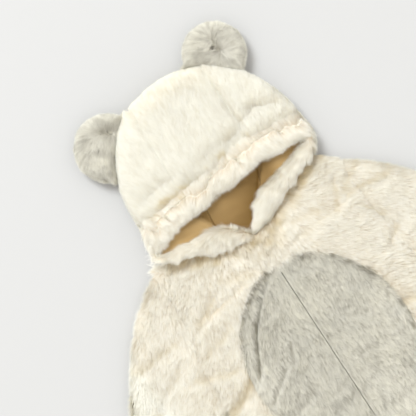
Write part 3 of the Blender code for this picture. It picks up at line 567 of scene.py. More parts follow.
def soft_noise(points, size, salt):
    """Smooth noise from -1 to 1 with features of the given size."""
    places = points / size
    base = np.floor(places).astype(np.int64)
    part = eased(places - base)
    total = np.zeros(points.shape[:-1])
    for corner in np.ndindex(2, 2, 2):
        weight = np.ones(points.shape[:-1])
        for axis in range(3):
            weight = weight * (part[..., axis] if corner[axis] else 1.0 - part[..., axis])
        total += weight * cell_values(base + np.array(corner), salt)[..., 0]
    return total


def plan_noise(x, y, size, salt):
    """Smooth noise from -1 to 1 that is the same at every height."""
    return soft_noise(np.stack([x, y, np.zeros(np.shape(x))], axis=-1), size, salt)


# Shapes, each as an outer grid at the fur tips and an inner grid


def patch_half_width(y):
    """Half width of the tummy oval at a height of the plan."""
    share = 1.0 - ((y - PATCH_CENTER_Y) / PATCH_HALF_LENGTH) ** 2
    return PATCH_HALF_WIDTH * np.sqrt(np.clip(share, 0.0, None))


def patch_rows(count=17):
    """Heights of the oval's rows, close together at its two ends."""
    angle = np.linspace(np.radians(9.0), np.radians(171.0), count)
    return PATCH_CENTER_Y + PATCH_HALF_LENGTH * np.cos(angle)


def patch_edge():
    """The oval's edge on the right half."""
    return [(patch_half_width(y), y) for y in patch_rows()]


def waves(x, y, size, salt):
    """Slow waves of laid cloth, from -1 to 1."""
    return plan_noise(x, 0.8 * y, size, salt)


def bump(x, y, middle, half_width, half_length):
    """A soft round rise on the plan, 1 at its middle."""
    return np.exp(-(((x - middle[0]) / half_width) ** 2) - ((y - middle[1]) / half_length) ** 2)


def front_height(x, y):
    """Height of the fronts' fur tips, away from seams and edges."""
    belly = bump(x, y, BELLY_MIDDLE, 85.0, 150.0)
    height = FRONT_HEIGHT + BELLY_RISE * belly + 0.8 * crease_height(x, y, BODY_CREASES)
    return height + 1.6 * waves(x, y, 34.0, 81) + 0.8 * waves(x, y, 15.0, 82)


def front_inside(x, y, free):
    """The fronts lie on the back along the edges and stand a little off it in the middle."""
    return LAID_GAP + HOLLOW_RISE * eased((distance_to(x, y, free) - 12.0) / 60.0)


def line_x(y, line):
    """Where a line that falls from its first point to its last crosses a height."""
    points = np.array(line)[::-1]
    return np.interp(y, points[:, 1], points[:, 0])


def half_panel(side, neckline, shoulder, rows, shares, patched):
    """Plan grid of half a body, between the neckline, closing, patch and leg, and the outside."""
    inner_line = np.array(neckline)
    x_in = np.interp(rows, inner_line[:, 1], inner_line[:, 0], left=0.0)
    x_in = np.where(rows < CROTCH_Y, line_x(rows, INSEAM), x_in)
    if patched:
        oval = patch_rows()
        beside = (rows <= oval[0]) & (rows >= oval[-1])
        x_in = np.where(beside, patch_half_width(rows), x_in)
    x_in = x_in + SEAM_GAP / 2
    outside = shoulder + ARMHOLE[1:] + SIDE_SEAM[1:]
    x_out = line_x(rows, outside) - SEAM_GAP / 2
    x = x_in[:, None] + (x_out - x_in)[:, None] * np.array(shares)[None]
    y = np.repeat(rows[:, None], len(shares), axis=1)
    return side * x, y


def front_grids(side):
    """Outer and inner grids of a front."""
    neckline, shoulder = {
        -1: (NECKLINE_LEFT, SHOULDER_LEFT), 1: (NECKLINE_RIGHT, SHOULDER_RIGHT),
    }[side]
    oval = patch_rows()
    keys = {shoulder[0][1] - 1.5, HEM_Y, CROTCH_Y, oval[0] + SEAM_GAP, oval[-1] - SEAM_GAP}
    keys.update(oval)
    keys.update(y for x, y in neckline[:-1] + ARMHOLE + SIDE_SEAM + INSEAM)
    keys.update(CHEST_ROWS + LEG_ROWS)
    rows = denser(sorted(keys, reverse=True), 3)
    shares = denser(FRONT_COLUMNS, 3)
    x, y = half_panel(side, neckline, shoulder, rows, shares, True)
    edge = nearest(x, y, side, shoulder, SIDE_SEAM, INSEAM)
    edge = np.minimum(edge, np.abs(y - HEM_Y) + FRONT_HEM)
    closing = ((0.0, neckline[0][1]), (0.0, CROTCH_Y))
    seam = nearest(x, y, side, closing, patch_edge(), neckline, ARMHOLE)
    low = LAID_GAP + EDGE_RIM
    top = low + (front_height(x, y) - low) * rounded(edge, TOP_ROUND)
    top = top - SEAM_DIP * (1.0 - rounded(seam, SEAM_ROUND)) * rounded(edge, TOP_ROUND)
    free = mirrored(shoulder + ARMHOLE + SIDE_SEAM[1:] + INSEAM[::-1], side)
    inside = np.minimum(front_inside(x, y, free), top - EDGE_RIM)
    return stacked(x, y, top), stacked(x, y, inside)


def patch_grids(side):
    """Outer and inner grids of half the tummy oval."""
    shares = denser(PATCH_COLUMNS, 3)
    rows = patch_rows(60)
    half = patch_half_width(rows)
    x = side * (SEAM_GAP / 2 + (half - SEAM_GAP)[:, None] * shares[None])
    y = np.repeat(rows[:, None], len(shares), axis=1)
    seam = np.minimum(np.abs(x), nearest(x, y, side, patch_edge()))
    top = front_height(x, y) + crease_height(x, y, PATCH_CREASES)
    top = top - SEAM_DIP * (1.0 - rounded(seam, SEAM_ROUND))
    inside = front_inside(x, y, mirrored(ARMHOLE + SIDE_SEAM[1:], side))
    return stacked(x, y, top), stacked(x, y, inside)


def back_neck_y(x):
    """Height of the seam between the hood and the back."""
    return BACK_NECK_Y + 4.0 * (np.abs(x) / 100.0) ** 2


def back_grids(side):
    """Outer and inner grids of a back: the outer one is underneath."""
    shoulder = ((104.0, BACK_NECK_Y + 4.0), SHOULDER_POINT)
    keys = {-2.0, 10.0, HEM_Y, CROTCH_Y, *LEG_ROWS}
    keys.update(np.linspace(-20.0, -360.0, 12))
    keys.update(y for x, y in ARMHOLE[1:] + SIDE_SEAM + INSEAM)
    rows = denser(sorted(keys, reverse=True), 2)
    shares = denser(BACK_COLUMNS, 3)
    x, y = half_panel(side, ((0.0, CROTCH_Y), (0.0, 500.0)), shoulder, rows, shares, False)
    width = shares[None] * (SHOULDER_POINT[0] - 1.0)
    x = np.concatenate([side * (width + SEAM_GAP / 2), x])
    y = np.concatenate([back_neck_y(width) - SEAM_GAP / 2, y])
    edge = nearest(x, y, side, SIDE_SEAM, INSEAM, SHOULDER_LEFT[1:])
    edge = np.minimum(edge, np.abs(y - HEM_Y) + BACK_HEM)
    bottom = (BACK_TOP - EDGE_RIM) * (1.0 - rounded(edge, BOTTOM_ROUND))
    return stacked(x, y, bottom), stacked(x, y, np.full(x.shape, BACK_TOP))


def ring_of(x, y, top, bottom):
    """Rings that run over the top sheet and back under the bottom one."""
    return np.concatenate([stacked(x, y, top), stacked(x, y, bottom)[:, -2:0:-1]], axis=1)


def sleeve_grids(side):
    """Outer and inner rings of a sleeve, from the armhole to the cuff."""
    reach = travelled(ARMHOLE)
    across = denser(reach / reach[-1], 3)
    down = np.linspace(0.0, 1.0, SLEEVE_ROWS)
    cuff = (SLEEVE_OUTER[-1], SLEEVE_INNER[-1])
    plan = coons(
        along_line(ARMHOLE, across), along_line(cuff, across),
        along_line(SLEEVE_OUTER, down), along_line(SLEEVE_INNER, down),
    )
    x = plan[..., 0] + (1.0 - down)[:, None] * SEAM_GAP
    y = plan[..., 1]
    width = np.hypot(x[:, -1] - x[:, 0], y[:, -1] - y[:, 0])[:, None]
    inset = PLUSH / width
    squeezed = inset + across[None] * (1.0 - 2.0 * inset)
    inner_x, inner_y = (
        np.array([np.interp(row, across, line) for row, line in zip(squeezed, lines)])
        for lines in (x, y))
    middle = LAID_GAP + 0.5
    edge = nearest(x, y, 1, SLEEVE_OUTER, SLEEVE_INNER)
    edge[:, [0, -1]] = 0.0
    cuff_fall = CUFF_FALL * np.exp(-((1.0 - down) / 0.05) ** 2)[:, None]
    armhole_dip = SEAM_DIP * (1.0 - rounded(distance_to(x, y, ARMHOLE), SEAM_ROUND))
    height = front_height(side * x, y) - armhole_dip - cuff_fall
    top = middle + (height - middle) * rounded(edge, TOP_ROUND)
    bottom = middle * (1.0 - rounded(edge, BOTTOM_ROUND))
    depth = np.interp(across, (0.0, 0.11, 0.89, 1.0), (0.0, 1.0, 1.0, 0.0))[None]
    inner_top = middle + (np.minimum(height - PLUSH, SLEEVE_HOLLOW) - middle) * depth
    inner_bottom = np.broadcast_to(middle + (BACK_TOP - middle) * depth, x.shape)
    outer = ring_of(side * x, y, top, bottom)
    return outer, ring_of(side * inner_x, inner_y, inner_top, inner_bottom)


def hood_height(x, y):
    """Height of the hood's fur tips away from its edges."""
    dome = bump(x, y, DOME_MIDDLE, 80.0, 70.0)
    height = HOOD_HEIGHT + HOOD_RISE * dome + crease_height(x, y, HOOD_CREASES)
    return height + 0.8 * waves(x, y, 42.0, 83)


def hood_sheets(x, y, seam, kept):
    """Outer heights of the hood's top and bottom sheets."""
    edge = distance_to(x, y, HOOD_OUTLINE)
    fold = (BACK_TOP - EDGE_RIM) + (HOOD_EDGE - BACK_TOP + EDGE_RIM) * kept
    dip = SEAM_DIP * (1.0 - rounded(seam, SEAM_ROUND)) * rounded(edge, HOOD_ROUND)
    top = fold + (hood_height(x, y) - fold) * rounded(edge, HOOD_ROUND) - dip
    return top, fold * (1.0 - rounded(edge, BOTTOM_ROUND))


def hood_inner(x, y, kept):
    """Heights of the two inner faces over an already inset plan point."""
    edge = np.maximum(distance_to(x, y, HOOD_OUTLINE) - INNER_INSET * kept, 0.0)
    fold = BACK_TOP + (HOOD_EDGE - BACK_TOP) * kept
    top = fold + (hood_height(x, y) - PLUSH - 1.0 - fold) * rounded(edge, HOOD_ROUND)
    return top, fold + (BACK_TOP - fold) * rounded(edge, BOTTOM_ROUND)


def outline_y(x):
    """Height of the crown's outline over a plan position near the middle."""
    crown = np.array([point for point in HOOD_OUTLINE if point[1] > 190.0])
    return np.interp(x, crown[:, 0], crown[:, 1])


def groove_y(x):
    """Height of the stitched groove at a plan position."""
    stations = np.array([(station.groove_x, station.groove_y) for station in BRIM])
    return np.interp(x, stations[:, 0], stations[:, 1])


def back_seam_x(y):
    """Half width of the middle panel under the hood, narrowing to the neck."""
    return BACK_SEAM_X + (TOP_SEAM_X - BACK_SEAM_X) * eased((y - BACK_NECK_Y) / 165.0)


def hood_center_grids():
    """Outer and inner grids of the hood's middle panel."""
    across = np.linspace(-1.0, 1.0, 33)
    rise = 1.0 - (1.0 - HOOD_UP) ** 1.8
    fall = rise[::-1][1:]
    x_top = across * (TOP_SEAM_X - SEAM_GAP / 2)
    start = groove_y(x_top) + SEAM_GAP / 2
    neck = (back_neck_y(x_top) + SEAM_GAP / 2)[None]
    crown = outline_y(x_top)
    ones = np.ones(1)
    top_x = np.repeat(x_top[None], len(rise), axis=0)
    sheets = []
    for inset in (0.0, INNER_INSET):
        top_y = start[None] + (crown - inset - start)[None] * rise[:, None]
        low_y = neck + (crown[None] - inset - neck) * fall[:, None]
        low_x = across[None] * (back_seam_x(low_y) - SEAM_GAP / 2)
        if inset:
            top_z = hood_inner(top_x, top_y, ones)[0]
            low_z = hood_inner(low_x, low_y, ones)[1]
        else:
            seam = np.minimum(TOP_SEAM_X - np.abs(top_x), top_y - start[None])
            top_z = hood_sheets(top_x, top_y, seam, ones)[0]
            low_z = hood_sheets(low_x, low_y, FAR_FROM_SEAM, ones)[1]
        top_z[-1] = HOOD_EDGE
        sheets.append(np.concatenate([
            np.dstack([top_x, top_y, top_z]), np.dstack([low_x, low_y, low_z]),
        ]))
    return sheets


def inset_side(plan, side, kept, out):
    """Inner plan of a side panel: drawn in from the outline, unmoved at the seam."""
    edge_column = int(np.argmax(out))
    seam_column = int(np.argmin(out))
    width = np.abs(plan[:, edge_column, 0] - plan[:, seam_column, 0])[:, None]
    inset = np.minimum(INNER_INSET * kept, width - 1.0)
    return plan[..., 0] - side * inset * out[None], plan[..., 1]


def hood_side_plans(side):
    """Plan grids of the top and of the underside of a side panel of the hood."""
    if side < 0:
        outline = HOOD_OUTLINE[LEFT_RIM_INDEX:LEFT_TIP_INDEX + 1]
        mouth = HOOD_OUTLINE[LEFT_RIM_INDEX::-1]
    else:
        outline = HOOD_OUTLINE[RIGHT_RIM_INDEX:RIGHT_TIP_INDEX - 1:-1]
        mouth = HOOD_OUTLINE[RIGHT_RIM_INDEX:]
    seam_x = side * (TOP_SEAM_X + SEAM_GAP / 2)
    seam_y = groove_y(seam_x) + SEAM_GAP / 2 + (HOOD_TIP_Y - groove_y(seam_x)) * HOOD_UP
    seam_top = np.stack([np.full(HOOD_UP.shape, seam_x), seam_y], axis=-1)
    edge = along_line(outline, HOOD_UP)
    rim_top = seam_top[0] + (edge[0] + (0.0, SEAM_GAP / 2) - seam_top[0]) * SIDE_OUT[:, None]
    cap = seam_top[-1] + (edge[-1] - seam_top[-1]) * SIDE_OUT[:, None]
    edge = edge + np.linspace(1.0, 0.0, len(edge))[:, None] * (0.0, SEAM_GAP / 2)
    neck_y = back_neck_y(BACK_SEAM_X) + SEAM_GAP / 2
    low_y = neck_y + (HOOD_TIP_Y - neck_y) * HOOD_UP
    seam_low = np.stack([side * (back_seam_x(low_y) + SEAM_GAP / 2), low_y], axis=-1)
    seam_low[-1] = seam_top[-1]
    neck_x = np.linspace(abs(mouth[-1][0]), abs(seam_low[0, 0]), 5)[1:]
    neck = tuple((side * x, back_neck_y(x) + SEAM_GAP / 2) for x in neck_x)
    rim_low = along_line(mouth + neck, 1.0 - SIDE_OUT[::-1])
    rim_low[0] = edge[0]
    rim_low[-1] = seam_low[0]
    return coons(rim_top, cap, seam_top, edge), coons(rim_low, cap[::-1], edge, seam_low)


def hood_side_grids(side):
    """Outer and inner grids of a side panel of the hood."""
    top, low = hood_side_plans(side)
    top_x, top_y = top[..., 0], top[..., 1]
    low_x, low_y = low[..., 0], low[..., 1]
    kept_top = np.ones(top_x.shape)
    kept_low = eased((low_y - groove_y(side * 115.0) + 26.0) / 26.0)
    seam = np.abs(top_x - side * (TOP_SEAM_X + SEAM_GAP / 2))
    seam = np.minimum(seam, top_y - groove_y(top_x))
    outer_top = hood_sheets(top_x, top_y, seam, kept_top)[0]
    outer_low = hood_sheets(low_x, low_y, FAR_FROM_SEAM, kept_low)[1]
    in_top_x, in_top_y = inset_side(top, side, kept_top, SIDE_OUT)
    in_top_y = in_top_y + (groove_y(in_top_x) - groove_y(top_x)) * (1.0 - HOOD_UP[:, None])
    in_low_x, in_low_y = inset_side(low, side, kept_low, SIDE_OUT[::-1])
    inner_top = hood_inner(in_top_x, in_top_y, kept_top)[0]
    inner_low = hood_inner(in_low_x, in_low_y, kept_low)[1]
    inner_top[:, :-1] = np.maximum(inner_top[:, :-1], HOOD_EDGE + 0.8)
    inner_low[:, 1:] = np.minimum(inner_low[:, 1:], HOOD_EDGE - 0.8)
    outer = (np.dstack([top, outer_top]), np.dstack([low, outer_low])[:, 1:])
    inner = (np.dstack([in_top_x, in_top_y, inner_top]),
             np.dstack([in_low_x, in_low_y, inner_low])[:, 1:])
    return np.concatenate(outer, axis=1), np.concatenate(inner, axis=1)


def roll_rings(near, far, bottom, top, squareness=0.8):
    """Rings of a roll between two plan lines; a low squareness keeps its near side full."""
    angle = np.linspace(0.0, 2.0 * np.pi, ROLL_SIDES, endpoint=False)
    across = (1.0 - np.cos(angle)) / 2.0
    power = np.where(across < 0.5, squareness, 0.8)
    swell = np.sign(np.sin(angle)) * np.abs(np.sin(angle)) ** power
    plan = near[:, None] + (far - near)[:, None] * across[None, :, None]
    middle = ((bottom + top) / 2.0)[:, None]
    half = ((top - bottom) / 2.0)[:, None]
    return np.dstack([plan, middle + half * swell[None]])


def drawn_in(near, far, gap):
    """Two plan lines moved towards each other by a gap."""
    step = (far - near) / np.linalg.norm(far - near, axis=1, keepdims=True)
    return near + step * gap, far - step * gap


def denser_points(points, steps):
    """A broken line with more points between each pair."""
    return np.stack([denser(points[:, axis], steps) for axis in range(points.shape[1])], axis=-1)


def brim_rings():
    """Rings of the puffy edge across the top of the mouth, turned down at its ends."""
    near = np.array([(station.groove_x, station.groove_y) for station in BRIM])
    far = np.array([(station.lower_x, station.lower_y) for station in BRIM])
    count = np.arange(len(BRIM))
    far[2:-2, 1] += 2.0 + 1.8 * np.sin(count[2:-2] * 2.3)
    near[1:-1, 1] += 1.4 * np.sin(count[1:-1] * 1.9 + 1.0)
    near, far = drawn_in(near, far, SEAM_GAP / 2)
    for (upper, lower, before), end, next_in in (
        (BRIM_LEFT_TURN, 0, 1), (BRIM_RIGHT_TURN, -1, -2),
    ):
        near[end] += upper
        far[end] += lower
        far[next_in] += before
    swell = 1.5 * np.sin(count * 1.7) + 1.0 * np.sin(count * 3.1)
    top = BRIM_TOP + swell
    bottom = np.full(len(BRIM), BRIM_BOTTOM)
    for step, ends in enumerate(([0, -1], [1, -2])):
        top[ends] = BRIM_END_TOPS[step]
        bottom[ends] = BRIM_END_BOTTOMS[step]
    return roll_rings(
        denser_points(near, 6), denser_points(far, 6), denser(bottom, 6), denser(top, 6), 0.3)


def band_rings(side):
    """Rings of the mouth's edge down one side."""
    lines = {
        -1: (NECKLINE_LEFT, BAND_INNER_LEFT), 1: (NECKLINE_RIGHT, BAND_INNER_RIGHT),
    }[side]
    outer, inner = (
        denser_points(np.array(line + end), 2) for line, end in zip(lines, BAND_ENDS[side]))
    near, far = drawn_in(outer, inner, SEAM_GAP / 2)
    near[:, 0] = np.maximum(near[:, 0], SEAM_GAP / 2)
    near[:, 0] *= side
    far[:, 0] *= side
    reach = np.linspace(0.0, 1.0, len(near))
    top = BAND_NECK_TOP + (BAND_TOP - BAND_NECK_TOP) * eased(reach / 0.5)
    shares = np.ones(len(near))
    shares[0] = 0.6
    shares[-len(BAND_END_SHARES):] = BAND_END_SHARES
    top = LAID_GAP + (top - LAID_GAP) * shares
    low = np.full(len(near), LAID_GAP)
    return roll_rings(
        denser_points(near, 4), denser_points(far, 4), denser(low, 4), denser(top, 4))


def left_of(x, y, line):
    """Distance to a line that runs up the plan, positive on its left."""
    line = np.array(sorted(line, key=lambda point: point[1]))
    return np.interp(y, line[:, 1], line[:, 0]) - x


def lining_height(x, y):
    """The lining lies on the back of the hood and stands up at both sides of the mouth."""
    left = left_of(x, y, LEFT_FOLD)
    right = -left_of(x, y, RIGHT_FOLD)
    height = LEFT_RISE * eased((left + 1.0) / 4.5) + RIGHT_RISE * eased((right + 1.0) / 6.0)
    height = np.maximum(height, 7.0 * eased((y - 8.0 - 0.35 * x) / 46.0))
    height = height * (1.0 - 0.6 * eased((y - 58.0) / 30.0))
    return LAID_GAP + LINING_LIFT + height + crease_height(x, y, LINING_CREASES)


def lining_shade(x, y):
    """How deep each place of the lining lies in the hood's shade."""
    left = left_of(x, y, LEFT_FOLD)
    right = -left_of(x, y, RIGHT_FOLD)
    middle = 0.42 + 0.58 * eased((0.7 * x - 0.7 * y + 40.0) / 50.0)
    corner = eased((x + 58.0) / 8.0) * eased((-33.0 - x) / 4.0)
    middle = np.maximum(middle, 0.7 * corner)
    strip = np.where(x < 0.0, 0.1, 0.58 - 0.4 * eased((x - 50.0) / 18.0))
    share = np.maximum(eased((left + 2.0) / 3.0), eased((right + 2.0) / 3.0))
    edge = 0.3 * sum(np.exp(-(((away + 1.0) / 1.5) ** 2)) for away in (right, left))
    crease = 0.35 * crease_painted_shade(x, y, LINING_CREASES)
    high = 0.45 * eased((y - 60.0) / 40.0)
    shade = np.clip(middle * (1.0 - share) + strip * share + edge + crease + high, 0.0, 1.0)
    lit = 0.5 * eased((left + 2.0) / 3.0) * (x < 0.0) * (1.0 - 0.75 * eased((x + 92.0) / 22.0))
    lit += 0.2 * eased((y - 33.0) / 9.0) * eased((-x - 5.0) / 15.0) * eased((x + 50.0) / 8.0)
    lit += 0.35 * eased((x - 54.0) / 14.0)
    return shade + 0.58 * (1.0 - shade) * (1.0 - lit)


def lining_plan(name):
    """Plan grid of one panel of the lining."""
    up = np.linspace(0.0, 1.0, 40)
    left_line = along_line(LINING_LEFT_SEAM, up)
    right_line = along_line(LINING_RIGHT_SEAM, up)
    if name == "lining_center":
        across = np.linspace(0.0, 1.0, 50)
        top = along_line((left_line[-1], right_line[-1]), across)
        return coons(along_line(LINING_FRONT, across), top, left_line, right_line)
    side, seam, rest = {
        "lining_left": (-1, left_line, ((-66.0, 20.6), (-112.0, 25.0))),
        "lining_right": (1, right_line, ((38.0, 31.0), (64.0, 38.0), (112.0, 52.0))),
    }[name]
    across = np.linspace(0.0, 1.0, 36)
    seam = seam + (side * 0.12, 0.0)
    low = along_line((tuple(seam[0]),) + rest, across)
    outside = along_line((rest[-1], (side * LINING_TOP_X, LINING_TOP_Y)), up)
    return coons(low, along_line((seam[-1], outside[-1]), across), seam, outside)


def hood_reach(angle):
    """Distance from the hood's middle to its outline in a direction."""
    outline = np.array(HOOD_OUTLINE) - HOOD_MIDDLE
    turns = np.unwrap(np.arctan2(outline[:, 1], -outline[:, 0]))
    return np.interp(np.arctan2(np.sin(angle), -np.cos(angle)), turns, np.hypot(*outline.T))


def ear_outline(ear):
    """Round edge of an ear outside the hood, and its base along the hood's outline."""
    around = np.radians(np.arange(720) / 2.0)
    circle = np.stack([
        ear.center_x + ear.radius * np.cos(around),
        ear.center_y + ear.radius * np.sin(around),
    ], axis=-1)
    from_middle = circle - HOOD_MIDDLE
    angle = np.arctan2(from_middle[:, 1], from_middle[:, 0])
    outside = np.hypot(*from_middle.T) > hood_reach(angle) + EAR_BASE_GAP
    start = int(np.flatnonzero(outside & ~np.roll(outside, 1))[0])
    kept = [(start + step) % 720 for step in range(int(outside.sum()))]
    picks = np.linspace(0, len(kept) - 1, 66).round().astype(int)
    arc = circle[kept][picks]
    first = np.arctan2(*(arc[-1] - HOOD_MIDDLE)[::-1])
    last = np.arctan2(*(arc[0] - HOOD_MIDDLE)[::-1])
    turns = np.linspace(first, last, 28)[1:-1]
    reach = (hood_reach(turns) + EAR_BASE_GAP)[:, None]
    base = HOOD_MIDDLE + reach * np.stack([np.cos(turns), np.sin(turns)], axis=-1)
    return np.concatenate([arc, base])


def ear_rings(ear):
    """Rings of an ear from the middle of its underside to the middle of its top."""
    outline = ear_outline(ear)
    middle = outline.mean(axis=0)
    closed = tuple(map(tuple, outline)) + (tuple(outline[0]),)
    rings_top = []
    rings_bottom = []
    for factor in 1.0 - np.linspace(0.0, 0.95, 16) ** 1.6:
        plan = middle + (outline - middle) * factor
        edge = distance_to(plan[:, 0], plan[:, 1], closed) * (factor < 1.0)
        top = EAR_EDGE + (EAR_THICKNESS - EAR_EDGE) * rounded(edge, 20.0)
        bottom = EAR_EDGE * (1.0 - rounded(edge, 12.0))
        rings_top.append(np.column_stack([plan, top]))
        rings_bottom.append(np.column_stack([plan, bottom]))
    return np.array(rings_bottom[:0:-1] + rings_top)


# Meshes


def to_frame(points):
    """Plan millimetres to the part's frame in metres."""
    return (points - ORIGIN) * MM


def grid_normals(grid, closed):
    """Unit normals of a grid of points, outward for the grids of this file."""
    if closed:
        along = np.roll(grid, -1, axis=1) - np.roll(grid, 1, axis=1)
    else:
        along = np.gradient(grid, axis=1)
    up = np.gradient(grid, axis=0)
    normal = np.cross(along, up)
    return normal / np.maximum(np.linalg.norm(normal, axis=-1, keepdims=True), 1e-9)


def outward(grid, inner, closed):
    """Normals of an outer grid, turned away from its inner grid."""
    normal = grid_normals(grid, closed)
    return normal * np.sign(np.sum(normal * (grid - inner)))


def grid_faces(rows, columns, closed, start):
    """Quads over a grid of points; a closed grid joins its last column to its first."""
    row = np.arange(rows - 1)[:, None]
    column = np.arange(columns if closed else columns - 1)[None]
    a = start + row * columns + column
    b = start + row * columns + (column + 1) % columns
    return np.stack([a, b, b + columns, a + columns], axis=-1).reshape(-1, 4)


def border_faces(rows, columns, closed):
    """Quads that join the edges of two grids, one laid after the other."""
    count = rows * columns
    first = np.arange(columns)
    last = count - columns + first
    if closed:
        loops = [np.append(first, first[0]), np.append(last, last[0])]
    else:
        right = np.arange(1, rows) * columns + columns - 1
        left = np.arange(rows - 2, 0, -1) * columns
        loops = [np.concatenate([first, right, last[-2::-1], left, first[:1]])]
    faces = [np.stack([a[:-1], a[1:], a[1:] + count, a[:-1] + count], axis=-1) for a in loops]
    return np.concatenate(faces)


def link(thing):
    """Put an object into the scene's suit collection."""
    collection = bpy.data.collections.get("sleepsuit_looks")
    if collection is None:
        collection = bpy.data.collections.new("sleepsuit_looks")
        bpy.context.scene.collection.children.link(collection)
    collection.objects.link(thing)
    return thing


def mesh_object(name, points, faces, material, smooth=True):
    """A mesh object from plan points and faces of one size or a list of arrays of faces."""
    mesh = bpy.data.meshes.new(name)
    groups = faces if isinstance(faces, list) else [faces]
    corners = np.concatenate([group.reshape(-1) for group in groups])
    sizes = np.concatenate([np.full(len(group), group.shape[1]) for group in groups])
    starts = np.concatenate([[0], np.cumsum(sizes)[:-1]])
    mesh.vertices.add(len(points))
    mesh.vertices.foreach_set("co", to_frame(points).astype(np.float32).ravel())
    mesh.loops.add(len(corners))
    mesh.loops.foreach_set("vertex_index", corners.astype(np.int32))
    mesh.polygons.add(len(sizes))
    mesh.polygons.foreach_set("loop_start", starts.astype(np.int32))
    if smooth:
        mesh.shade_smooth()
    mesh.update(calc_edges=True)
    mesh.materials.append(material)
    return link(bpy.data.objects.new(name, mesh))


def shell(name, outer, inner, material, closed=False):
    """A closed thin shell between an outer and an inner grid."""
    rows, columns = outer.shape[:2]
    count = rows * columns
    faces = np.concatenate([
        grid_faces(rows, columns, closed, 0),
        grid_faces(rows, columns, closed, count)[:, ::-1],
        border_faces(rows, columns, closed)[:, ::-1],
    ])
    points = np.concatenate([outer.reshape(-1, 3), inner.reshape(-1, 3)])
    normal = grid_normals(outer, closed)
    if np.sum(normal * (outer - inner)) < 0.0:
        faces = faces[:, ::-1]
    return mesh_object(name, points, faces, material)


def bag(name, rings, material):
    """A closed form through rings, with a fan over each end."""
    count, sides = rings.shape[:2]
    points = np.concatenate([rings.reshape(-1, 3), [rings[0].mean(axis=0), rings[-1].mean(axis=0)]])
    quads = grid_faces(count, sides, True, 0)
    side = np.arange(sides)
    following = (side + 1) % sides
    middle = count * sides
    low = np.stack([following, side, np.full(sides, middle)], axis=-1)
    last = (count - 1) * sides
    high = np.stack([last + side, last + following, np.full(sides, middle + 1)], axis=-1)
    return mesh_object(name, points, [quads, low, high], material)


# Growing the pile

# A grid that pile grows on: its points, unit normals, the way from each point to the pile's
# tips, how dense the pile is there, and if the grid's last column joins its first
Field = namedtuple("Field", "points normals up weight closed")


def grid_areas(grid, closed):
    """Area of each quad of a grid, from its two halves."""
    if closed:
        grid = joined(grid)
    a, b, c, d = grid[:-1, :-1], grid[:-1, 1:], grid[1:, :-1], grid[1:, 1:]
    halves = [np.linalg.norm(np.cross(b - corner, c - corner), axis=-1) for corner in (a, d)]
    return 0.5 * (halves[0] + halves[1])


def quad_areas(field):
    """Weighted area of each quad of a field's tips, in square millimetres."""
    weight = joined(field.weight) if field.closed else field.weight
    return grid_areas(field.points + field.up, field.closed) * weight[:-1, :-1]


def quad_samples(field, areas, count, rng):
    """Random points over a grid, spread as their tips would be: normals, lifts and weights."""
    chance = areas.ravel()
    row, column = np.divmod(rng.choice(len(chance), count, p=chance / chance.sum()), areas.shape[1])
    s = rng.random((count, 1))
    t = rng.random((count, 1))

    def blend(values):
        if field.closed:
            values = joined(values)
        low = values[row, column] * (1 - s) + values[row, column + 1] * s
        high = values[row + 1, column] * (1 - s) + values[row + 1, column + 1] * s
        return low * (1 - t) + high * t

    normals = blend(field.normals)
    normals /= np.maximum(np.linalg.norm(normals, axis=-1, keepdims=True), 1e-9)
    return blend(field.points), normals, blend(field.up), blend(field.weight[..., None])[:, 0]


def flow_on(normal, direction, turn):
    """A direction laid on a surface and turned in it by an angle."""
    tangent = along_surface(direction, normal)
    size = np.linalg.norm(tangent, axis=-1, keepdims=True)
    fallback = np.cross(normal, (0.0, 0.0, 1.0))
    tangent = np.where(size > 0.05, tangent / np.maximum(size, 1e-6), fallback)
    across = np.cross(normal, tangent)
    return tangent * np.cos(turn)[:, None] + across * np.sin(turn)[:, None]


def along_surface(vectors, normal):
    """The part of each vector that lies in the surface."""
    return vectors - normal * np.sum(vectors * normal, axis=-1, keepdims=True)


def tuft_pull(root, normal, size, salt):
    """Vectors from each root to the middle of its tuft, and that tuft's random values."""
    bend = [soft_noise(root, 2.5 * size, salt + 40), soft_noise(root, 2.5 * size, salt + 41)]
    bent = root + 0.45 * size * np.stack([*bend, np.zeros(len(root))], axis=-1)
    cell = np.floor(bent / size).astype(np.int64)
    values = cell_values(cell, salt)
    center = (cell + 0.5 + 0.4 * values[:, :3]) * size
    return along_surface(center - bent, normal), values


def drawn_out(root, heading):
    """Roots moved together along the way the pile lies, so that strands come out long."""
    main = heading.mean(axis=0)
    main = main / np.linalg.norm(main)
    return root - STRAND_DRAW * (root @ main)[:, None] * main


def kept_apart(root, tip):
    """Tips beside the front closing stay on their own side of it, below the chest."""
    aside = root[:, 0] - lean(0.0, root[:, 1])
    closing = lean(0.0, tip[:, 1])
    side = np.sign(aside)
    beside = (np.abs(aside) < PARTED_WITHIN) & (root[:, 1] < PARTED_BELOW)
    inside = np.maximum(side * (tip[:, 0] - closing), np.abs(aside) * 0.3 + PARTED_GAP)
    tip[:, 0] = np.where(beside, closing + side * inside, tip[:, 0])
    return tip


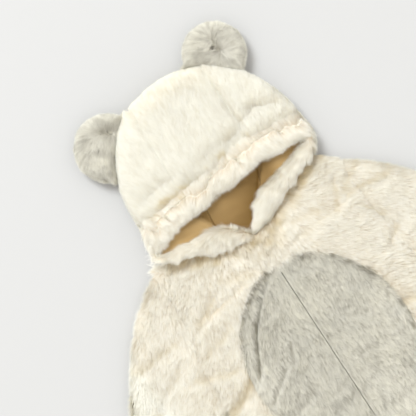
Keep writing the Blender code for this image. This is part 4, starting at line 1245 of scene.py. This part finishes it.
def pile(name, field, flow, material, seed, style, tone_of=None, strands_of=None):
    """Locks of pile over a grid, as one joined mesh of narrow blades."""
    options = looks()
    tuft_size = options.tuft_size / MM
    rng = np.random.default_rng(seed)
    areas = quad_areas(field)
    count = int(min(MOST_LOCKS, areas.sum() * options.pile_density * style.density))
    root, normal, up, weight = quad_samples(field, areas, count, rng)

    # Ruffled and smooth places, and the way that each lock lies
    calm = 1.0 - style.calmed * np.clip(1.6 * (1.0 - weight), 0.0, 1.0)
    ruffle = 0.3 + 0.7 * eased((soft_noise(root, 38.0, RUFFLE_SALT) + 0.35) / 0.8)
    ruffle = np.maximum(ruffle, min(1.0, 2.5 * style.ragged)) * (0.4 + 0.6 * calm)
    swirl = soft_noise(root, 34.0, SWIRL_SALT) + 0.6 * soft_noise(root, 13.0, SMALL_SWIRL_SALT)
    turn = style.swirl * swirl + rng.normal(0.0, 0.1, count)
    heading = flow(root, normal)
    tangent = flow_on(normal, heading, turn)
    laid_share = np.linalg.norm(along_surface(heading, normal), axis=-1)
    reach = np.clip(2.4 * laid_share - 0.2, style.flat * 0.6 + 0.12, 1.0)

    # Tufts, and the finer strands in them
    pull, values = tuft_pull(root, normal, tuft_size, TUFT_SALT)
    if strands_of is None:
        drawn = drawn_out(root, heading)
        strand, fine = tuft_pull(drawn, normal, tuft_size * style.strand, STRAND_SALT)
        strand -= tangent * np.sum(strand * tangent, axis=-1, keepdims=True)
    else:
        cell, offset = strands_of(root)
        strand, fine = np.cross(normal, tangent) * offset[:, None], cell_values(cell, STRAND_SALT)

    # Length of each lock, and how far its tip rises and lies over
    length = options.pile_length / MM * style.length
    length = length * (1.0 + style.ragged * values[:, 3] + 0.2 * rng.uniform(-1, 1, count))
    rise = np.clip(np.linalg.norm(up, axis=-1), *RISE_RANGE)
    root = root + normal * (rise * style.flat)[:, None]
    lift = style.lift * ruffle * soft_noise(root, 8.0, LIFT_SALT)
    rise = rise * (1.0 - style.flat) * (style.stand + lift + 0.1 * rng.uniform(-1, 1, count))
    rise += FRINGE * (1.0 - np.abs(normal[:, 2])) * rng.random(count)
    rise = np.minimum(rise, length * 0.9)
    sweep = reach * np.sqrt(length ** 2 - rise ** 2)
    jitter = along_surface(rng.normal(0.0, 0.4, (count, 3)), normal)
    gather = (options.tuft_pull * rng.uniform(0.5, 1.3, count))[:, None]
    tip = root + normal * rise[:, None] + tangent * sweep[:, None] + jitter
    tip += pull * gather * style.tuft * ruffle[:, None] + strand * gather * 1.3
    if style.parted:
        tip = kept_apart(root, tip)

    # A narrow blade for each lock, a little rolled about its own length
    roll_angle = rng.uniform(-0.4, 0.4, count)[:, None]
    side = np.cross(normal, tangent) * np.cos(roll_angle) + normal * np.sin(roll_angle)
    wider = np.clip(1.0 / weight, 1.0, MOST_WIDENING + 0.6 * style.calmed)
    half = options.lock_width / MM * 0.5 * (wider * rng.uniform(0.7, 1.3, count))[:, None]
    points = np.stack([root - side * half, root + side * half, tip], axis=1)
    points[..., 2] = np.maximum(points[..., 2], LOWEST)
    faces = np.arange(count * 3).reshape(-1, 3)
    thing = mesh_object(name, points.reshape(-1, 3), faces, material)

    # Tones: paler roots where the pile stands or is sparse, uneven tufts, and painted shade in
    # folds and hollows
    pale = np.maximum(style.pale, 0.8 * (1.0 - reach) * (style.pale > 0.0))
    pale = np.maximum(pale, np.clip(1.3 * (1.0 - weight), 0.0, 0.65))
    add_attribute(thing.data, "along", np.stack([pale, pale, np.ones(count)], axis=-1).ravel())
    tone = 0.3 * values[:, 0] * ruffle + 0.45 * fine[:, 1] + 0.25 * rng.uniform(-1, 1, count)
    add_attribute(thing.data, "tone", np.repeat(tone * style.tone * (0.4 + 0.6 * calm), 3))
    # The fold attribute holds painted shade in folds, hollows and the groove, and the dark ear
    # partings
    fold = np.zeros(count) if tone_of is None else tone_of(root)
    add_attribute(thing.data, "fold", np.repeat(fold, 3))
    return thing


def add_attribute(mesh, name, values):
    """A number for each point of a mesh."""
    layer = mesh.attributes.new(name, "FLOAT", "POINT")
    layer.data.foreach_set("value", values.astype(np.float32))


def neck_painted_shade(x, y):
    """Painted shade in the hollow a little below the hood's bands."""
    left = nearest(x, y + 3.0, -1, NECKLINE_LEFT)
    right = nearest(x, y + 3.0, 1, NECKLINE_RIGHT)
    broken = 0.55 + 0.45 * plan_noise(x, y, 9.0, 81)
    reach = 5.0 + 3.0 * eased((np.abs(x) - 25.0) / 40.0)
    hollow = np.where(
        x < 0.0, np.exp(-((left / reach) ** 2)), 0.8 * np.exp(-((right / reach) ** 2)))
    return broken * np.maximum(hollow, 0.6 * bump(x, y, NECK_POINT, 26.0, 16.0))


def body_painted_shade(root):
    """Painted shade in the body's folds and below the hood."""
    x, y = root[:, 0], root[:, 1]
    fold = 0.45 * crease_painted_shade(x, y, BODY_CREASES)
    return np.maximum(fold, neck_painted_shade(x, y)) * (root[:, 2] > 8.0)


def patch_painted_shade(root):
    """Painted shade in the tummy's folds and along its seams."""
    x, y = root[:, 0], root[:, 1]
    half = patch_half_width(y)
    slope = 1.3 * (y - PATCH_CENTER_Y) / np.maximum(half, 8.0)
    border = np.abs(half - np.abs(x)) / np.sqrt(1.0 + slope ** 2)
    broken = np.where(x < 0.0, 0.9, 0.7 * eased((soft_noise(root, 5.0, 88) + 0.1) / 0.5))
    seam = broken * np.exp(-((border / 2.6) ** 2))
    return np.maximum(0.8 * crease_painted_shade(x, y, PATCH_CREASES), seam)


def groove_painted_shade(root):
    """Painted shade in broken wrinkles along the groove above the brim."""
    x, y = root[:, 0], root[:, 1]
    wander = 3.0 * soft_noise(root, 16.0, 84) + 2.0 * soft_noise(root, 5.0, 83)
    near = np.exp(-(((y - groove_y(x) + 1.0 - wander) / 3.0) ** 2))
    inside = eased((112.0 - np.abs(x)) / 10.0) * (root[:, 2] > 12.0)
    return near * inside * eased((soft_noise(root, 13.0, 82) + 0.35) / 0.6)


def hood_painted_shade(root):
    """Painted shade in the hood's folds and in the groove, and over the top of the crown, where the
    light falls strongest.
    """
    fold = 0.3 * crease_painted_shade(root[:, 0], root[:, 1], HOOD_CREASES) * (root[:, 2] > 15.0)
    rim = 0.17 * eased((root[:, 1] - 160.0) / 40.0)
    return np.maximum(np.maximum(fold, 0.6 * groove_painted_shade(root)), rim)


def laid(x, y, z=None):
    """Three-dimensional directions from their plan parts."""
    return np.stack([x, y, np.zeros(len(x)) if z is None else z], axis=-1)


def body_flow(root, normal):
    """The body's pile lies down the body, and out along the sleeves."""
    x, y = root[:, 0], root[:, 1]
    right = eased(x / 95.0)
    left = eased(-x / 95.0)
    upper = eased((y + 330.0) / 130.0)
    corner = eased((y - 10.0) / 8.0) * eased((-x - 112.0) / 8.0)
    along = (0.95 * right - 0.6 * left) * upper - 0.3 * corner
    return laid(along, 1.8 * corner - (1.0 - 0.35 * right * upper))


def patch_flow(root, normal):
    """The grey pile on the tummy lies down and a little outward."""
    return laid(0.0012 * root[:, 0], -np.ones(len(root)))


def hood_flow(root, normal):
    """The hood's pile lies up from the brim, over the crown and down the back."""
    facing = np.where(normal[:, 2] < -0.2, -1.0, 1.0)
    return laid(0.003 * root[:, 0], facing)


def brim_flow(root, normal):
    """The brim's pile hangs over its edge into the mouth, and behind over the groove."""
    behind = eased((normal[:, 1] - 0.05 + 0.5 * soft_noise(root, 9.0, 80)) / 0.3)
    return laid(-0.1 * np.ones(len(root)), 1.9 * behind - 1.0, -0.55 * (1.0 - behind))


def band_flow(root, normal):
    """The bands' pile lies down and to the left, as the photograph shows on both."""
    ones = np.ones(len(root))
    return laid(-0.83 * ones, -0.5 * ones, -0.3 * ones)


def from_parting(ear, root):
    """Steps from an ear's parting to each root."""
    start = np.array((ear.part_x, ear.part_y))
    step = np.array((ear.part_end_x, ear.part_end_y)) - start
    share = np.clip((root[:, :2] - start) @ step / (step @ step), 0.0, 1.0)
    return root[:, :2] - start - share[:, None] * step


def ear_depth(rings):
    """The pile of an ear is deep, but short where the ear meets the hood."""
    away = rings[..., :2] - HOOD_MIDDLE
    past = np.hypot(away[..., 0], away[..., 1]) - hood_reach(np.arctan2(away[..., 1], away[..., 0]))
    return 2.0 + 6.5 * eased((past - 1.0) / 12.0)


def ear_flow(ear):
    """The pile of an ear lies away from its parting."""
    def flow(root, normal):
        away = from_parting(ear, root) / 7.0
        x = away[:, 0] + 0.4 * soft_noise(root, 9.0, 92)
        y = away[:, 1] + 0.4 * soft_noise(root, 9.0, 93)
        return laid(x, y)
    return flow


def ear_tone(ear):
    """The pile of an ear is dark in its parting."""
    def tone(root):
        distance = np.linalg.norm(from_parting(ear, root), axis=-1)
        spots = eased((soft_noise(root, 4.0, 87) + 0.1) / 0.4)
        return 0.09 + 0.3 * np.exp(-((distance / 2.2) ** 2)) * spots * (root[:, 2] > EAR_EDGE)
    return tone


def ear_strands(ear, step=8.0, width=1.5):
    """Strands that run out from an ear's parting, in rings of one length."""
    def strands(root):
        away = from_parting(ear, root) + 1.5 * np.stack(
            [soft_noise(root, 6.0, 85), soft_noise(root, 6.0, 86)], axis=-1)
        ring = np.floor(np.hypot(*away.T) / step)
        around = 2.0 * np.pi * (ring + 0.6) * step
        place = (np.arctan2(away[:, 1], away[:, 0]) / (2.0 * np.pi) + 0.5) * around / width
        cell = np.stack([ring, np.floor(place), np.zeros(len(root))], axis=-1).astype(np.int64)
        return cell, (np.floor(place) + 0.5 - place) * width
    return strands


# Materials


def placed(tree, kind, inputs=None, **settings):
    """A new shader node: its settings first, then each input as a value or a link."""
    node = tree.nodes.new(f"ShaderNode{kind}")
    for name, value in settings.items():
        setattr(node, name, value)
    for key, value in (inputs or {}).items():
        if isinstance(value, bpy.types.NodeSocket):
            tree.links.new(value, node.inputs[key])
        else:
            node.inputs[key].default_value = value
    return node


def maths(tree, operation, *values, use_clamp=False):
    """The result of a Math node."""
    inputs = dict(enumerate(values))
    return placed(tree, "Math", inputs, operation=operation, use_clamp=use_clamp).outputs[0]


def mixed(tree, blend_type, factor, first, second):
    """The result of a colour Mix node."""
    inputs = {"Factor": factor, "A": first, "B": second}
    return placed(tree, "Mix", inputs, data_type="RGBA", blend_type=blend_type).outputs["Result"]


def scaled(tree, colour, factor):
    """A colour made brighter or darker."""
    inputs = {0: colour, "Scale": factor}
    return placed(tree, "VectorMath", inputs, operation="SCALE").outputs["Vector"]


def attribute(tree, name):
    """A number that a mesh holds for each of its points."""
    return placed(tree, "Attribute", attribute_name=name).outputs["Fac"]


def texture(tree, kind, inputs, **settings):
    """The value of a texture that lies fixed in space."""
    where = placed(tree, "NewGeometry").outputs["Position"]
    return placed(tree, kind, {"Vector": where, **inputs}, **settings).outputs["Fac"]


def opaque(colour):
    """A colour with full alpha, as sockets hold it."""
    return (*colour, 1.0)


def shader_group(name, inputs, outputs, steps):
    """A shader group, made once: its named sockets, and what its steps give each output."""
    group = bpy.data.node_groups.get(name)
    if group is not None:
        return group
    group = bpy.data.node_groups.new(name, "ShaderNodeTree")
    for label, value in inputs.items():
        kind = "NodeSocketFloat" if isinstance(value, float) else "NodeSocketColor"
        socket = group.interface.new_socket(name=label, in_out="INPUT", socket_type=kind)
        socket.default_value = value
    for label, kind in outputs.items():
        group.interface.new_socket(name=label, in_out="OUTPUT", socket_type=kind)
    given = group.nodes.new("NodeGroupInput").outputs
    results = group.nodes.new("NodeGroupOutput").inputs
    for label, socket in steps(group, given).items():
        group.links.new(socket, results[label])
    return group


def pile_group():
    """Colours of pile: darker roots, uneven tufts, slow patches of tone, and painted shade in folds
    and hollows.
    """
    def steps(tree, given):
        along = maths(tree, "POWER", attribute(tree, "along"), 0.4)
        blend = mixed(tree, "MIX", along, given["Root"], given["Tip"])
        tuft = maths(tree, "MULTIPLY", attribute(tree, "tone"), given["Tuft contrast"])
        noise = texture(tree, "TexNoise", {"Scale": 22.0, "Detail": 3.0})
        centered = maths(tree, "SUBTRACT", noise, 0.5)
        patch = maths(tree, "MULTIPLY_ADD", centered, given["Patch contrast"], tuft)
        bright = scaled(tree, blend, maths(tree, "ADD", patch, 1.0))
        # Painted shade from the fold attribute, together with the darker tufts, darkens the colour
        # by the tint
        deep = maths(tree, "MULTIPLY_ADD", tuft, -3.5, attribute(tree, "fold"), use_clamp=True)
        shade = mixed(tree, "MULTIPLY", deep, bright, given["Shade and tone tint"])
        warmed = mixed(tree, "MULTIPLY", 1.0, shade, given["Through tint"])
        return {"Color": shade, "Through color": warmed}

    inputs = {
        "Root": (0.5, 0.5, 0.5, 1.0), "Tip": (0.9, 0.9, 0.9, 1.0),
        "Tuft contrast": 0.06, "Patch contrast": 0.05,
        "Shade and tone tint": (0.84, 0.74, 0.56, 1.0), "Through tint": (1.0, 0.95, 0.82, 1.0),
    }
    outputs = {"Color": "NodeSocketColor", "Through color": "NodeSocketColor"}
    return shader_group("pile_tone", inputs, outputs, steps)


def nap_group():
    """Height and tone of short matted fibres, for backing cloth, knit and floor."""
    def steps(tree, given):
        noise = texture(tree, "TexNoise", {"Detail": 4.0, "Scale": given["Scale"]})
        centered = maths(tree, "SUBTRACT", noise, 0.5)
        bright = maths(tree, "MULTIPLY_ADD", centered, given["Contrast"], 1.0)
        return {"Color": scaled(tree, given["Base"], bright), "Height": noise}

    inputs = {"Base": (0.8, 0.8, 0.8, 1.0), "Scale": 900.0, "Contrast": 0.1}
    outputs = {"Color": "NodeSocketColor", "Height": "NodeSocketFloat"}
    return shader_group("fibre_nap", inputs, outputs, steps)


def new_material(name, colour):
    """A matt cloth material with its Principled shader, and that shader."""
    material = bpy.data.materials.new(name)
    material.use_nodes = True
    surface = material.node_tree.nodes["Principled BSDF"]
    surface.inputs["Base Color"].default_value = opaque(colour)
    surface.inputs["Roughness"].default_value = 0.9
    surface.inputs["Specular IOR Level"].default_value = 0.15
    return material, surface


def group_outputs(material, group, inputs):
    """The outputs of a shader group placed in a material with its own values."""
    return placed(material.node_tree, "Group", inputs, node_tree=group).outputs


def pile_material(name, root, tip, shade_and_tone_tint, through_tint, tuft_contrast, patch_contrast):
    """Pile of one colour, which lets some light through."""
    material = bpy.data.materials.get(name)
    if material is not None:
        return material
    material, surface = new_material(name, mostly_tip(root, tip))
    surface.inputs["Sheen Weight"].default_value = 0.15
    surface.inputs["Sheen Roughness"].default_value = 0.5
    tones = group_outputs(material, pile_group(), {
        "Root": opaque(root), "Tip": opaque(tip),
        "Tuft contrast": tuft_contrast, "Patch contrast": patch_contrast,
        "Shade and tone tint": opaque(shade_and_tone_tint), "Through tint": opaque(through_tint),
    })
    tree = material.node_tree
    tree.links.new(tones["Color"], surface.inputs["Base Color"])
    through = placed(tree, "BsdfTranslucent", {"Color": tones["Through color"]})
    mix = placed(tree, "MixShader", {
        "Fac": THROUGH_SHARE, 1: surface.outputs["BSDF"], 2: through.outputs["BSDF"],
    })
    tree.links.new(mix.outputs["Shader"], tree.nodes["Material Output"].inputs["Surface"])
    return material


def cloth_material(name, colour, scale, contrast, relief, rib_scale=None, shade_tint=None):
    """Backing cloth, thread or, with ribs, knit, with a fibrous surface."""
    material = bpy.data.materials.get(name)
    if material is not None:
        return material
    material, surface = new_material(name, colour)
    nap = group_outputs(material, nap_group(), {
        "Base": opaque(colour), "Scale": scale, "Contrast": contrast,
    })
    tone = nap["Color"]
    if rib_scale is not None:
        tone = group_outputs(material, jersey_group(), {
            "Base": tone, "Rib scale": rib_scale, "Shade tint": opaque(shade_tint),
        })["Color"]
    tree = material.node_tree
    raised = placed(tree, "Bump", {
        "Distance": relief * MM, "Strength": 1.0, "Height": nap["Height"],
    })
    tree.links.new(tone, surface.inputs["Base Color"])
    tree.links.new(raised.outputs["Normal"], surface.inputs["Normal"])
    return material


def mostly_tip(root, tip):
    """The colour that pile shows on the whole: a third of its root's and the rest its tip's."""
    return [(a + 2.0 * b) / 3.0 for a, b in zip(root, tip)]


def cream_plush():
    """The suit's cream plush: the materials of its pile and its backing, and its slot."""
    root, tip = looks().cream_root, looks().cream_tip
    fur = pile_material(
        "cream_pile", root, tip, shade_and_tone_tint=(0.84, 0.74, 0.5),
        through_tint=(1.0, 0.96, 0.86), tuft_contrast=0.045, patch_contrast=0.05)
    backing = cloth_material(
        "cream_backing", mostly_tip(root, tip), scale=700.0, contrast=0.2, relief=0.6)
    return fur, backing, "plush_cream"


def grey_plush():
    """The grey plush of the tummy and the ears: its two materials and its slot."""
    root, tip = looks().grey_root, looks().grey_tip
    fur = pile_material(
        "grey_pile", root, tip, shade_and_tone_tint=(0.52, 0.49, 0.42),
        through_tint=(1.0, 0.98, 0.94), tuft_contrast=0.06, patch_contrast=0.2)
    backing = cloth_material("grey_backing", root, scale=700.0, contrast=0.3, relief=0.6)
    return fur, backing, "plush_grey"


def jersey_group():
    """Colour of fine knit: columns of loops, and darker where the hood shades it."""
    def steps(tree, given):
        inputs = {"Distortion": 1.5, "Detail": 2.0, "Scale": given["Rib scale"]}
        ribs = texture(tree, "TexWave", inputs, bands_direction="X")
        bright = maths(tree, "MULTIPLY_ADD", ribs, given["Rib contrast"], 0.95)
        knit = scaled(tree, given["Base"], bright)
        shade = attribute(tree, "shade")
        return {"Color": mixed(tree, "MULTIPLY", shade, knit, given["Shade tint"])}

    inputs = {
        "Base": (0.8, 0.8, 0.8, 1.0), "Shade tint": (0.5, 0.4, 0.2, 1.0),
        "Rib scale": 150.0, "Rib contrast": 0.1,
    }
    return shader_group("jersey_tone", inputs, {"Color": "NodeSocketColor"}, steps)


def lining_material():
    """Fine cotton jersey."""
    return cloth_material(
        "jersey", looks().lining, scale=1400.0, contrast=0.12, relief=0.15,
        rib_scale=160.0, shade_tint=looks().lining_shade)


def lining_thread():
    """Sewing thread of the lining, a little lighter than the cloth in its shade."""
    colour = [value * 0.7 for value in looks().lining]
    return cloth_material("lining_thread", colour, scale=2500.0, contrast=0.2, relief=0.1)


# Sewing


def stitches(name, line):
    """Short threads laid on the lining along a plan line."""
    along = travelled(line)
    middles = np.arange(1.5, along[-1] - 1.5, STITCH_STEP)
    corners = []
    for middle in middles:
        ends = [middle - STITCH_LENGTH / 2, middle + STITCH_LENGTH / 2]
        x, y = (np.interp(ends, along, line[:, axis]) for axis in (0, 1))
        z = lining_height(x, y) + JERSEY
        start, end = np.stack([x, y, z], axis=-1)
        run = (end - start) / np.linalg.norm(end - start)
        side = np.cross(run, (0.0, 0.0, 1.0)) * STITCH_THICKNESS / 2
        up = np.array((0.0, 0.0, STITCH_THICKNESS))
        tip = 0.3 * run
        for place, share in ((start, 0.0), (start + tip, 1.0), (end - tip, 1.0), (end, 0.0)):
            corners += [place - side * 0.8, place + up * share, place + side * 0.8]
    rings = np.array(corners).reshape(-1, 4, 3, 3)
    base = np.arange(len(rings))[:, None, None] * 12
    faces = grid_faces(4, 3, True, 0)[None] + base
    return mesh_object(name, rings.reshape(-1, 3), faces.reshape(-1, 4), lining_thread())


# Dressing the frame


def on_suit(slot, *pieces):
    """Ride pieces on the suit; the slot is not used."""
    for piece in pieces:
        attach(piece, ROOT)


def declare(skin, fur, slot):
    """Ride the cloth and its pile on the suit."""
    on_suit(slot, skin, *fur)


def upper_weight(grid):
    """Pile is dense on the upper side, sparse where the suit lies on it, and eased at its ends."""
    x, y, z = (grid[..., axis] for axis in range(3))
    away = np.maximum(eased((-y - 270.0) / 60.0), eased((np.abs(x) - 190.0) / 30.0))
    under = eased((7.5 - z) / 5.0)
    return (1.0 - under) * (1.0 - END_THINNING * away) + under * UNDER_WEIGHT


def roll_weight(rings):
    """Pile covers a roll or an ear all round, and thins where it rests."""
    middle = rings[..., 2].mean()
    return 0.2 + 0.8 * eased((rings[..., 2] - 0.35 * middle) / (0.5 * middle))


def dress_panel(node, grids, flow, plush, seed, style, closed=False, tone_of=None):
    """A backing shell and its pile in place of one plush node."""
    outer, inner = grids
    fur_material, backing_material, slot = plush
    backing = outer + (inner - outer) * BACKING_DEPTH
    normal = outward(outer, inner, closed)
    skin = shell(f"{node}_cloth", backing, inner, backing_material, closed)
    field = Field(backing, normal, outer - backing, upper_weight(outer), closed)
    fur = pile(f"{node}_pile", field, flow, fur_material, seed, style, tone_of)
    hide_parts(node)
    declare(skin, [fur], slot)


def round_ended(rings):
    """The same roll drawn in to rounded ends."""
    centre = rings.mean(axis=1, keepdims=True)
    along = travelled(centre[:, 0])
    near_end = np.minimum(along, along[-1] - along)
    return centre + (rings - centre) * rounded(near_end + 1.5, ROLL_END)[:, None, None]


def dress_roll(node, rings, flow, plush, seed, style, depth=ROLL_PILE, padded=None, **looks_of):
    """A full roll or pad with its pile in place of one node."""
    fur_material, backing_material, slot = plush
    if padded is None:
        rings = round_ended(rings)
    centre = rings.mean(axis=1, keepdims=True)
    normal = outward(rings, np.broadcast_to(centre, rings.shape), True)
    depth = np.broadcast_to(depth, rings.shape[:2])
    core = rings - normal * depth[..., None]
    skin = bag(f"{node}_cloth", core, backing_material)
    field = Field(core, normal, rings - core, roll_weight(rings), True)
    fur = pile(f"{node}_pile", field, flow, fur_material, seed, style, **looks_of)
    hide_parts(node)
    on_suit(slot, skin, fur)


class SLEEPSUIT_OT_stage(bpy.types.Operator):
    """Lay down the plain floor and set up the soft light and the camera"""

    bl_idname = "sleepsuit.stage"
    bl_label = "Floor, light and camera"

    def execute(self, context):
        make_floor()
        make_lights()
        make_camera()
        return {"FINISHED"}


def make_floor():
    """A plain pale surface."""
    material, surface = new_material("plain_floor", looks().floor)
    tone = group_outputs(material, nap_group(), {
        "Base": opaque(looks().floor), "Scale": 60.0, "Contrast": 0.01,
    })["Color"]
    material.node_tree.links.new(tone, surface.inputs["Base Color"])
    corners = FLOOR_HALF * np.array([(-1, -1, 0), (1, -1, 0), (1, 1, 0), (-1, 1, 0)])
    floor = mesh_object("floor", corners + ORIGIN, np.array([[0, 1, 2, 3]]), material, smooth=False)
    floor.location.z = -FLOOR_DROP * MM


def make_lights():
    """A large soft key from the photograph's upper left and an even, slightly warm surround."""
    right = np.array((np.cos(PHOTO_TURN), -np.sin(PHOTO_TURN), 0.0))
    up = np.array((np.sin(PHOTO_TURN), np.cos(PHOTO_TURN), 0.0))
    aim = to_frame(np.array(KEY_AIM))
    place = aim - KEY_LEFT * right + KEY_UP * up + np.array((0.0, 0.0, KEY_HEIGHT))
    data = bpy.data.lights.new("key", "AREA")
    data.size = KEY_SIZE
    data.energy = KEY_POWER
    data.color = KEY_COLOUR
    key = link(bpy.data.objects.new("key", data))
    key.location = place
    key.rotation_euler = Vector(aim - place).to_track_quat("-Z", "Y").to_euler()
    world = bpy.data.worlds.new("surround")
    world.use_nodes = True
    background = world.node_tree.nodes["Background"]
    background.inputs["Color"].default_value = opaque(SURROUND_COLOUR)
    background.inputs["Strength"].default_value = SURROUND_STRENGTH
    scene = bpy.context.scene
    scene.world = world
    scene.cycles.diffuse_bounces = DIFFUSE_BOUNCES
    scene.cycles.max_bounces = MOST_BOUNCES
    scene.view_settings.view_transform = "Standard"


def make_camera():
    """Straight down on the photograph's middle, turned as the photograph is."""
    aim = to_frame(np.array((*PHOTO_MIDDLE, CAMERA_AIM_Z)))
    data = bpy.data.cameras.new("camera")
    data.sensor_width = SENSOR_WIDTH
    data.lens = SENSOR_WIDTH * CAMERA_HEIGHT / PHOTO_SPAN
    data.clip_end = CAMERA_REACH
    camera = link(bpy.data.objects.new("camera", data))
    camera.location = aim + np.array((0.0, 0.0, CAMERA_HEIGHT * MM))
    camera.rotation_euler = (0.0, 0.0, -PHOTO_TURN)
    bpy.context.scene.camera = camera


class SLEEPSUIT_OT_backs(bpy.types.Operator):
    """Make the two plush backs"""

    bl_idname = "sleepsuit.backs"
    bl_label = "Backs"

    def execute(self, context):
        for side, node, seed in ((-1, "back_left", 11), (1, "back_right", 12)):
            dress_panel(node, back_grids(side), body_flow, cream_plush(), seed, BODY_PILE)
        return {"FINISHED"}


class SLEEPSUIT_OT_fronts(bpy.types.Operator):
    """Make the two plush fronts"""

    bl_idname = "sleepsuit.fronts"
    bl_label = "Fronts"

    def execute(self, context):
        for side, node, seed in ((-1, "front_left", 21), (1, "front_right", 22)):
            dress_panel(node, front_grids(side), body_flow, cream_plush(), seed, FRONT_PILE,
                        tone_of=body_painted_shade)
        return {"FINISHED"}


class SLEEPSUIT_OT_patches(bpy.types.Operator):
    """Make the grey tummy oval"""

    bl_idname = "sleepsuit.patches"
    bl_label = "Tummy patch"

    def execute(self, context):
        for side, node, seed in ((-1, "patch_left", 31), (1, "patch_right", 32)):
            dress_panel(node, patch_grids(side), patch_flow, grey_plush(), seed, PATCH_PILE,
                        tone_of=patch_painted_shade)
        return {"FINISHED"}


class SLEEPSUIT_OT_sleeves(bpy.types.Operator):
    """Make the two sleeves"""

    bl_idname = "sleepsuit.sleeves"
    bl_label = "Sleeves"

    def execute(self, context):
        for side, node, seed in ((-1, "sleeve_left", 41), (1, "sleeve_right", 42)):
            dress_panel(node, sleeve_grids(side), body_flow, cream_plush(), seed, BODY_PILE,
                        closed=True, tone_of=body_painted_shade)
        return {"FINISHED"}


class SLEEPSUIT_OT_hood(bpy.types.Operator):
    """Make the hood's three plush panels"""

    bl_idname = "sleepsuit.hood"
    bl_label = "Hood"

    def execute(self, context):
        panels = (
            ("hood_center", hood_center_grids(), 51),
            ("hood_left", hood_side_grids(-1), 52),
            ("hood_right", hood_side_grids(1), 53),
        )
        for node, grids, seed in panels:
            dress_panel(node, grids, hood_flow, cream_plush(), seed, SMOOTH_PILE,
                        tone_of=hood_painted_shade)
        return {"FINISHED"}


class SLEEPSUIT_OT_edges(bpy.types.Operator):
    """Make the brim and the two front bands"""

    bl_idname = "sleepsuit.edges"
    bl_label = "Brim and bands"

    def execute(self, context):
        rolls = (
            ("hood_brim", brim_rings(), brim_flow, EDGE_PILE, 61),
            ("band_left", band_rings(-1), band_flow, BAND_PILE, 62),
            ("band_right", band_rings(1), band_flow, BAND_PILE, 63),
        )
        for node, rings, flow, style, seed in rolls:
            dress_roll(node, rings, flow, cream_plush(), seed, style, tone_of=groove_painted_shade)
        return {"FINISHED"}


class SLEEPSUIT_OT_lining(bpy.types.Operator):
    """Make the jersey lining that shows in the hood's mouth"""

    bl_idname = "sleepsuit.lining"
    bl_label = "Lining"

    def execute(self, context):
        for node in ("lining_center", "lining_left", "lining_right"):
            plan = lining_plan(node)
            z = lining_height(plan[..., 0], plan[..., 1])
            top = np.dstack([plan, z + JERSEY])
            facing = np.dstack([plan, z + FACING_GAP])
            cloth = shell(f"{node}_cloth", top, facing, lining_material())
            shade = lining_shade(plan[..., 0], plan[..., 1]).ravel()
            add_attribute(cloth.data, "shade", np.concatenate([shade, shade]))
            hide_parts(node)
            declare(cloth, [], "jersey_lining")
        center = lining_plan("lining_center")
        for name, line, aside in (
            ("lining_stitches_left", center[:, 0], -STITCHES_FROM_SEAM),
            ("lining_stitches_right", center[:, -1], STITCHES_FROM_SEAM),
        ):
            on_suit("jersey_lining", stitches(name, line + (aside, 0.0)))
        return {"FINISHED"}


class SLEEPSUIT_OT_ears(bpy.types.Operator):
    """Make the two padded round ears"""

    bl_idname = "sleepsuit.ears"
    bl_label = "Ears"

    def execute(self, context):
        for ear, seed in zip(EARS, (71, 72)):
            rings = ear_rings(ear)
            dress_roll(ear.name, rings, ear_flow(ear), grey_plush(), seed, EAR_PILE,
                       depth=ear_depth(rings), padded=EAR_FILL,
                       tone_of=ear_tone(ear), strands_of=ear_strands(ear))
        return {"FINISHED"}


class SLEEPSUIT_PT_panel(bpy.types.Panel):
    """Lists the suit's settings and the steps that build it"""

    bl_label = "Sleepsuit"
    bl_idname = "SLEEPSUIT_PT_panel"
    bl_space_type = "VIEW_3D"
    bl_region_type = "UI"
    bl_category = "Sleepsuit"

    def draw(self, context):
        settings = looks()
        for name in settings.bl_rna.properties.keys():
            if name not in {"rna_type", "name"}:
                self.layout.prop(settings, name)
        for step in STEPS:
            self.layout.operator(step.bl_idname)


STEPS = (
    SLEEPSUIT_OT_stage,
    SLEEPSUIT_OT_backs,
    SLEEPSUIT_OT_fronts,
    SLEEPSUIT_OT_patches,
    SLEEPSUIT_OT_sleeves,
    SLEEPSUIT_OT_hood,
    SLEEPSUIT_OT_edges,
    SLEEPSUIT_OT_lining,
    SLEEPSUIT_OT_ears,
)
CLASSES = (SleepsuitLooks,) + STEPS + (SLEEPSUIT_PT_panel,)


def register():
    """Register the classes and the scene's settings."""
    for one in CLASSES:
        bpy.utils.register_class(one)
    bpy.types.Scene.sleepsuit_looks = bpy.props.PointerProperty(type=SleepsuitLooks)


def unregister():
    """Undo register."""
    del bpy.types.Scene.sleepsuit_looks
    for one in reversed(CLASSES):
        bpy.utils.unregister_class(one)


def main():
    """Build the suit."""
    register()
    for step in STEPS:
        area, name = step.bl_idname.split(".")
        getattr(getattr(bpy.ops, area), name)()
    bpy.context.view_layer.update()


if __name__ == "__main__":
    main()
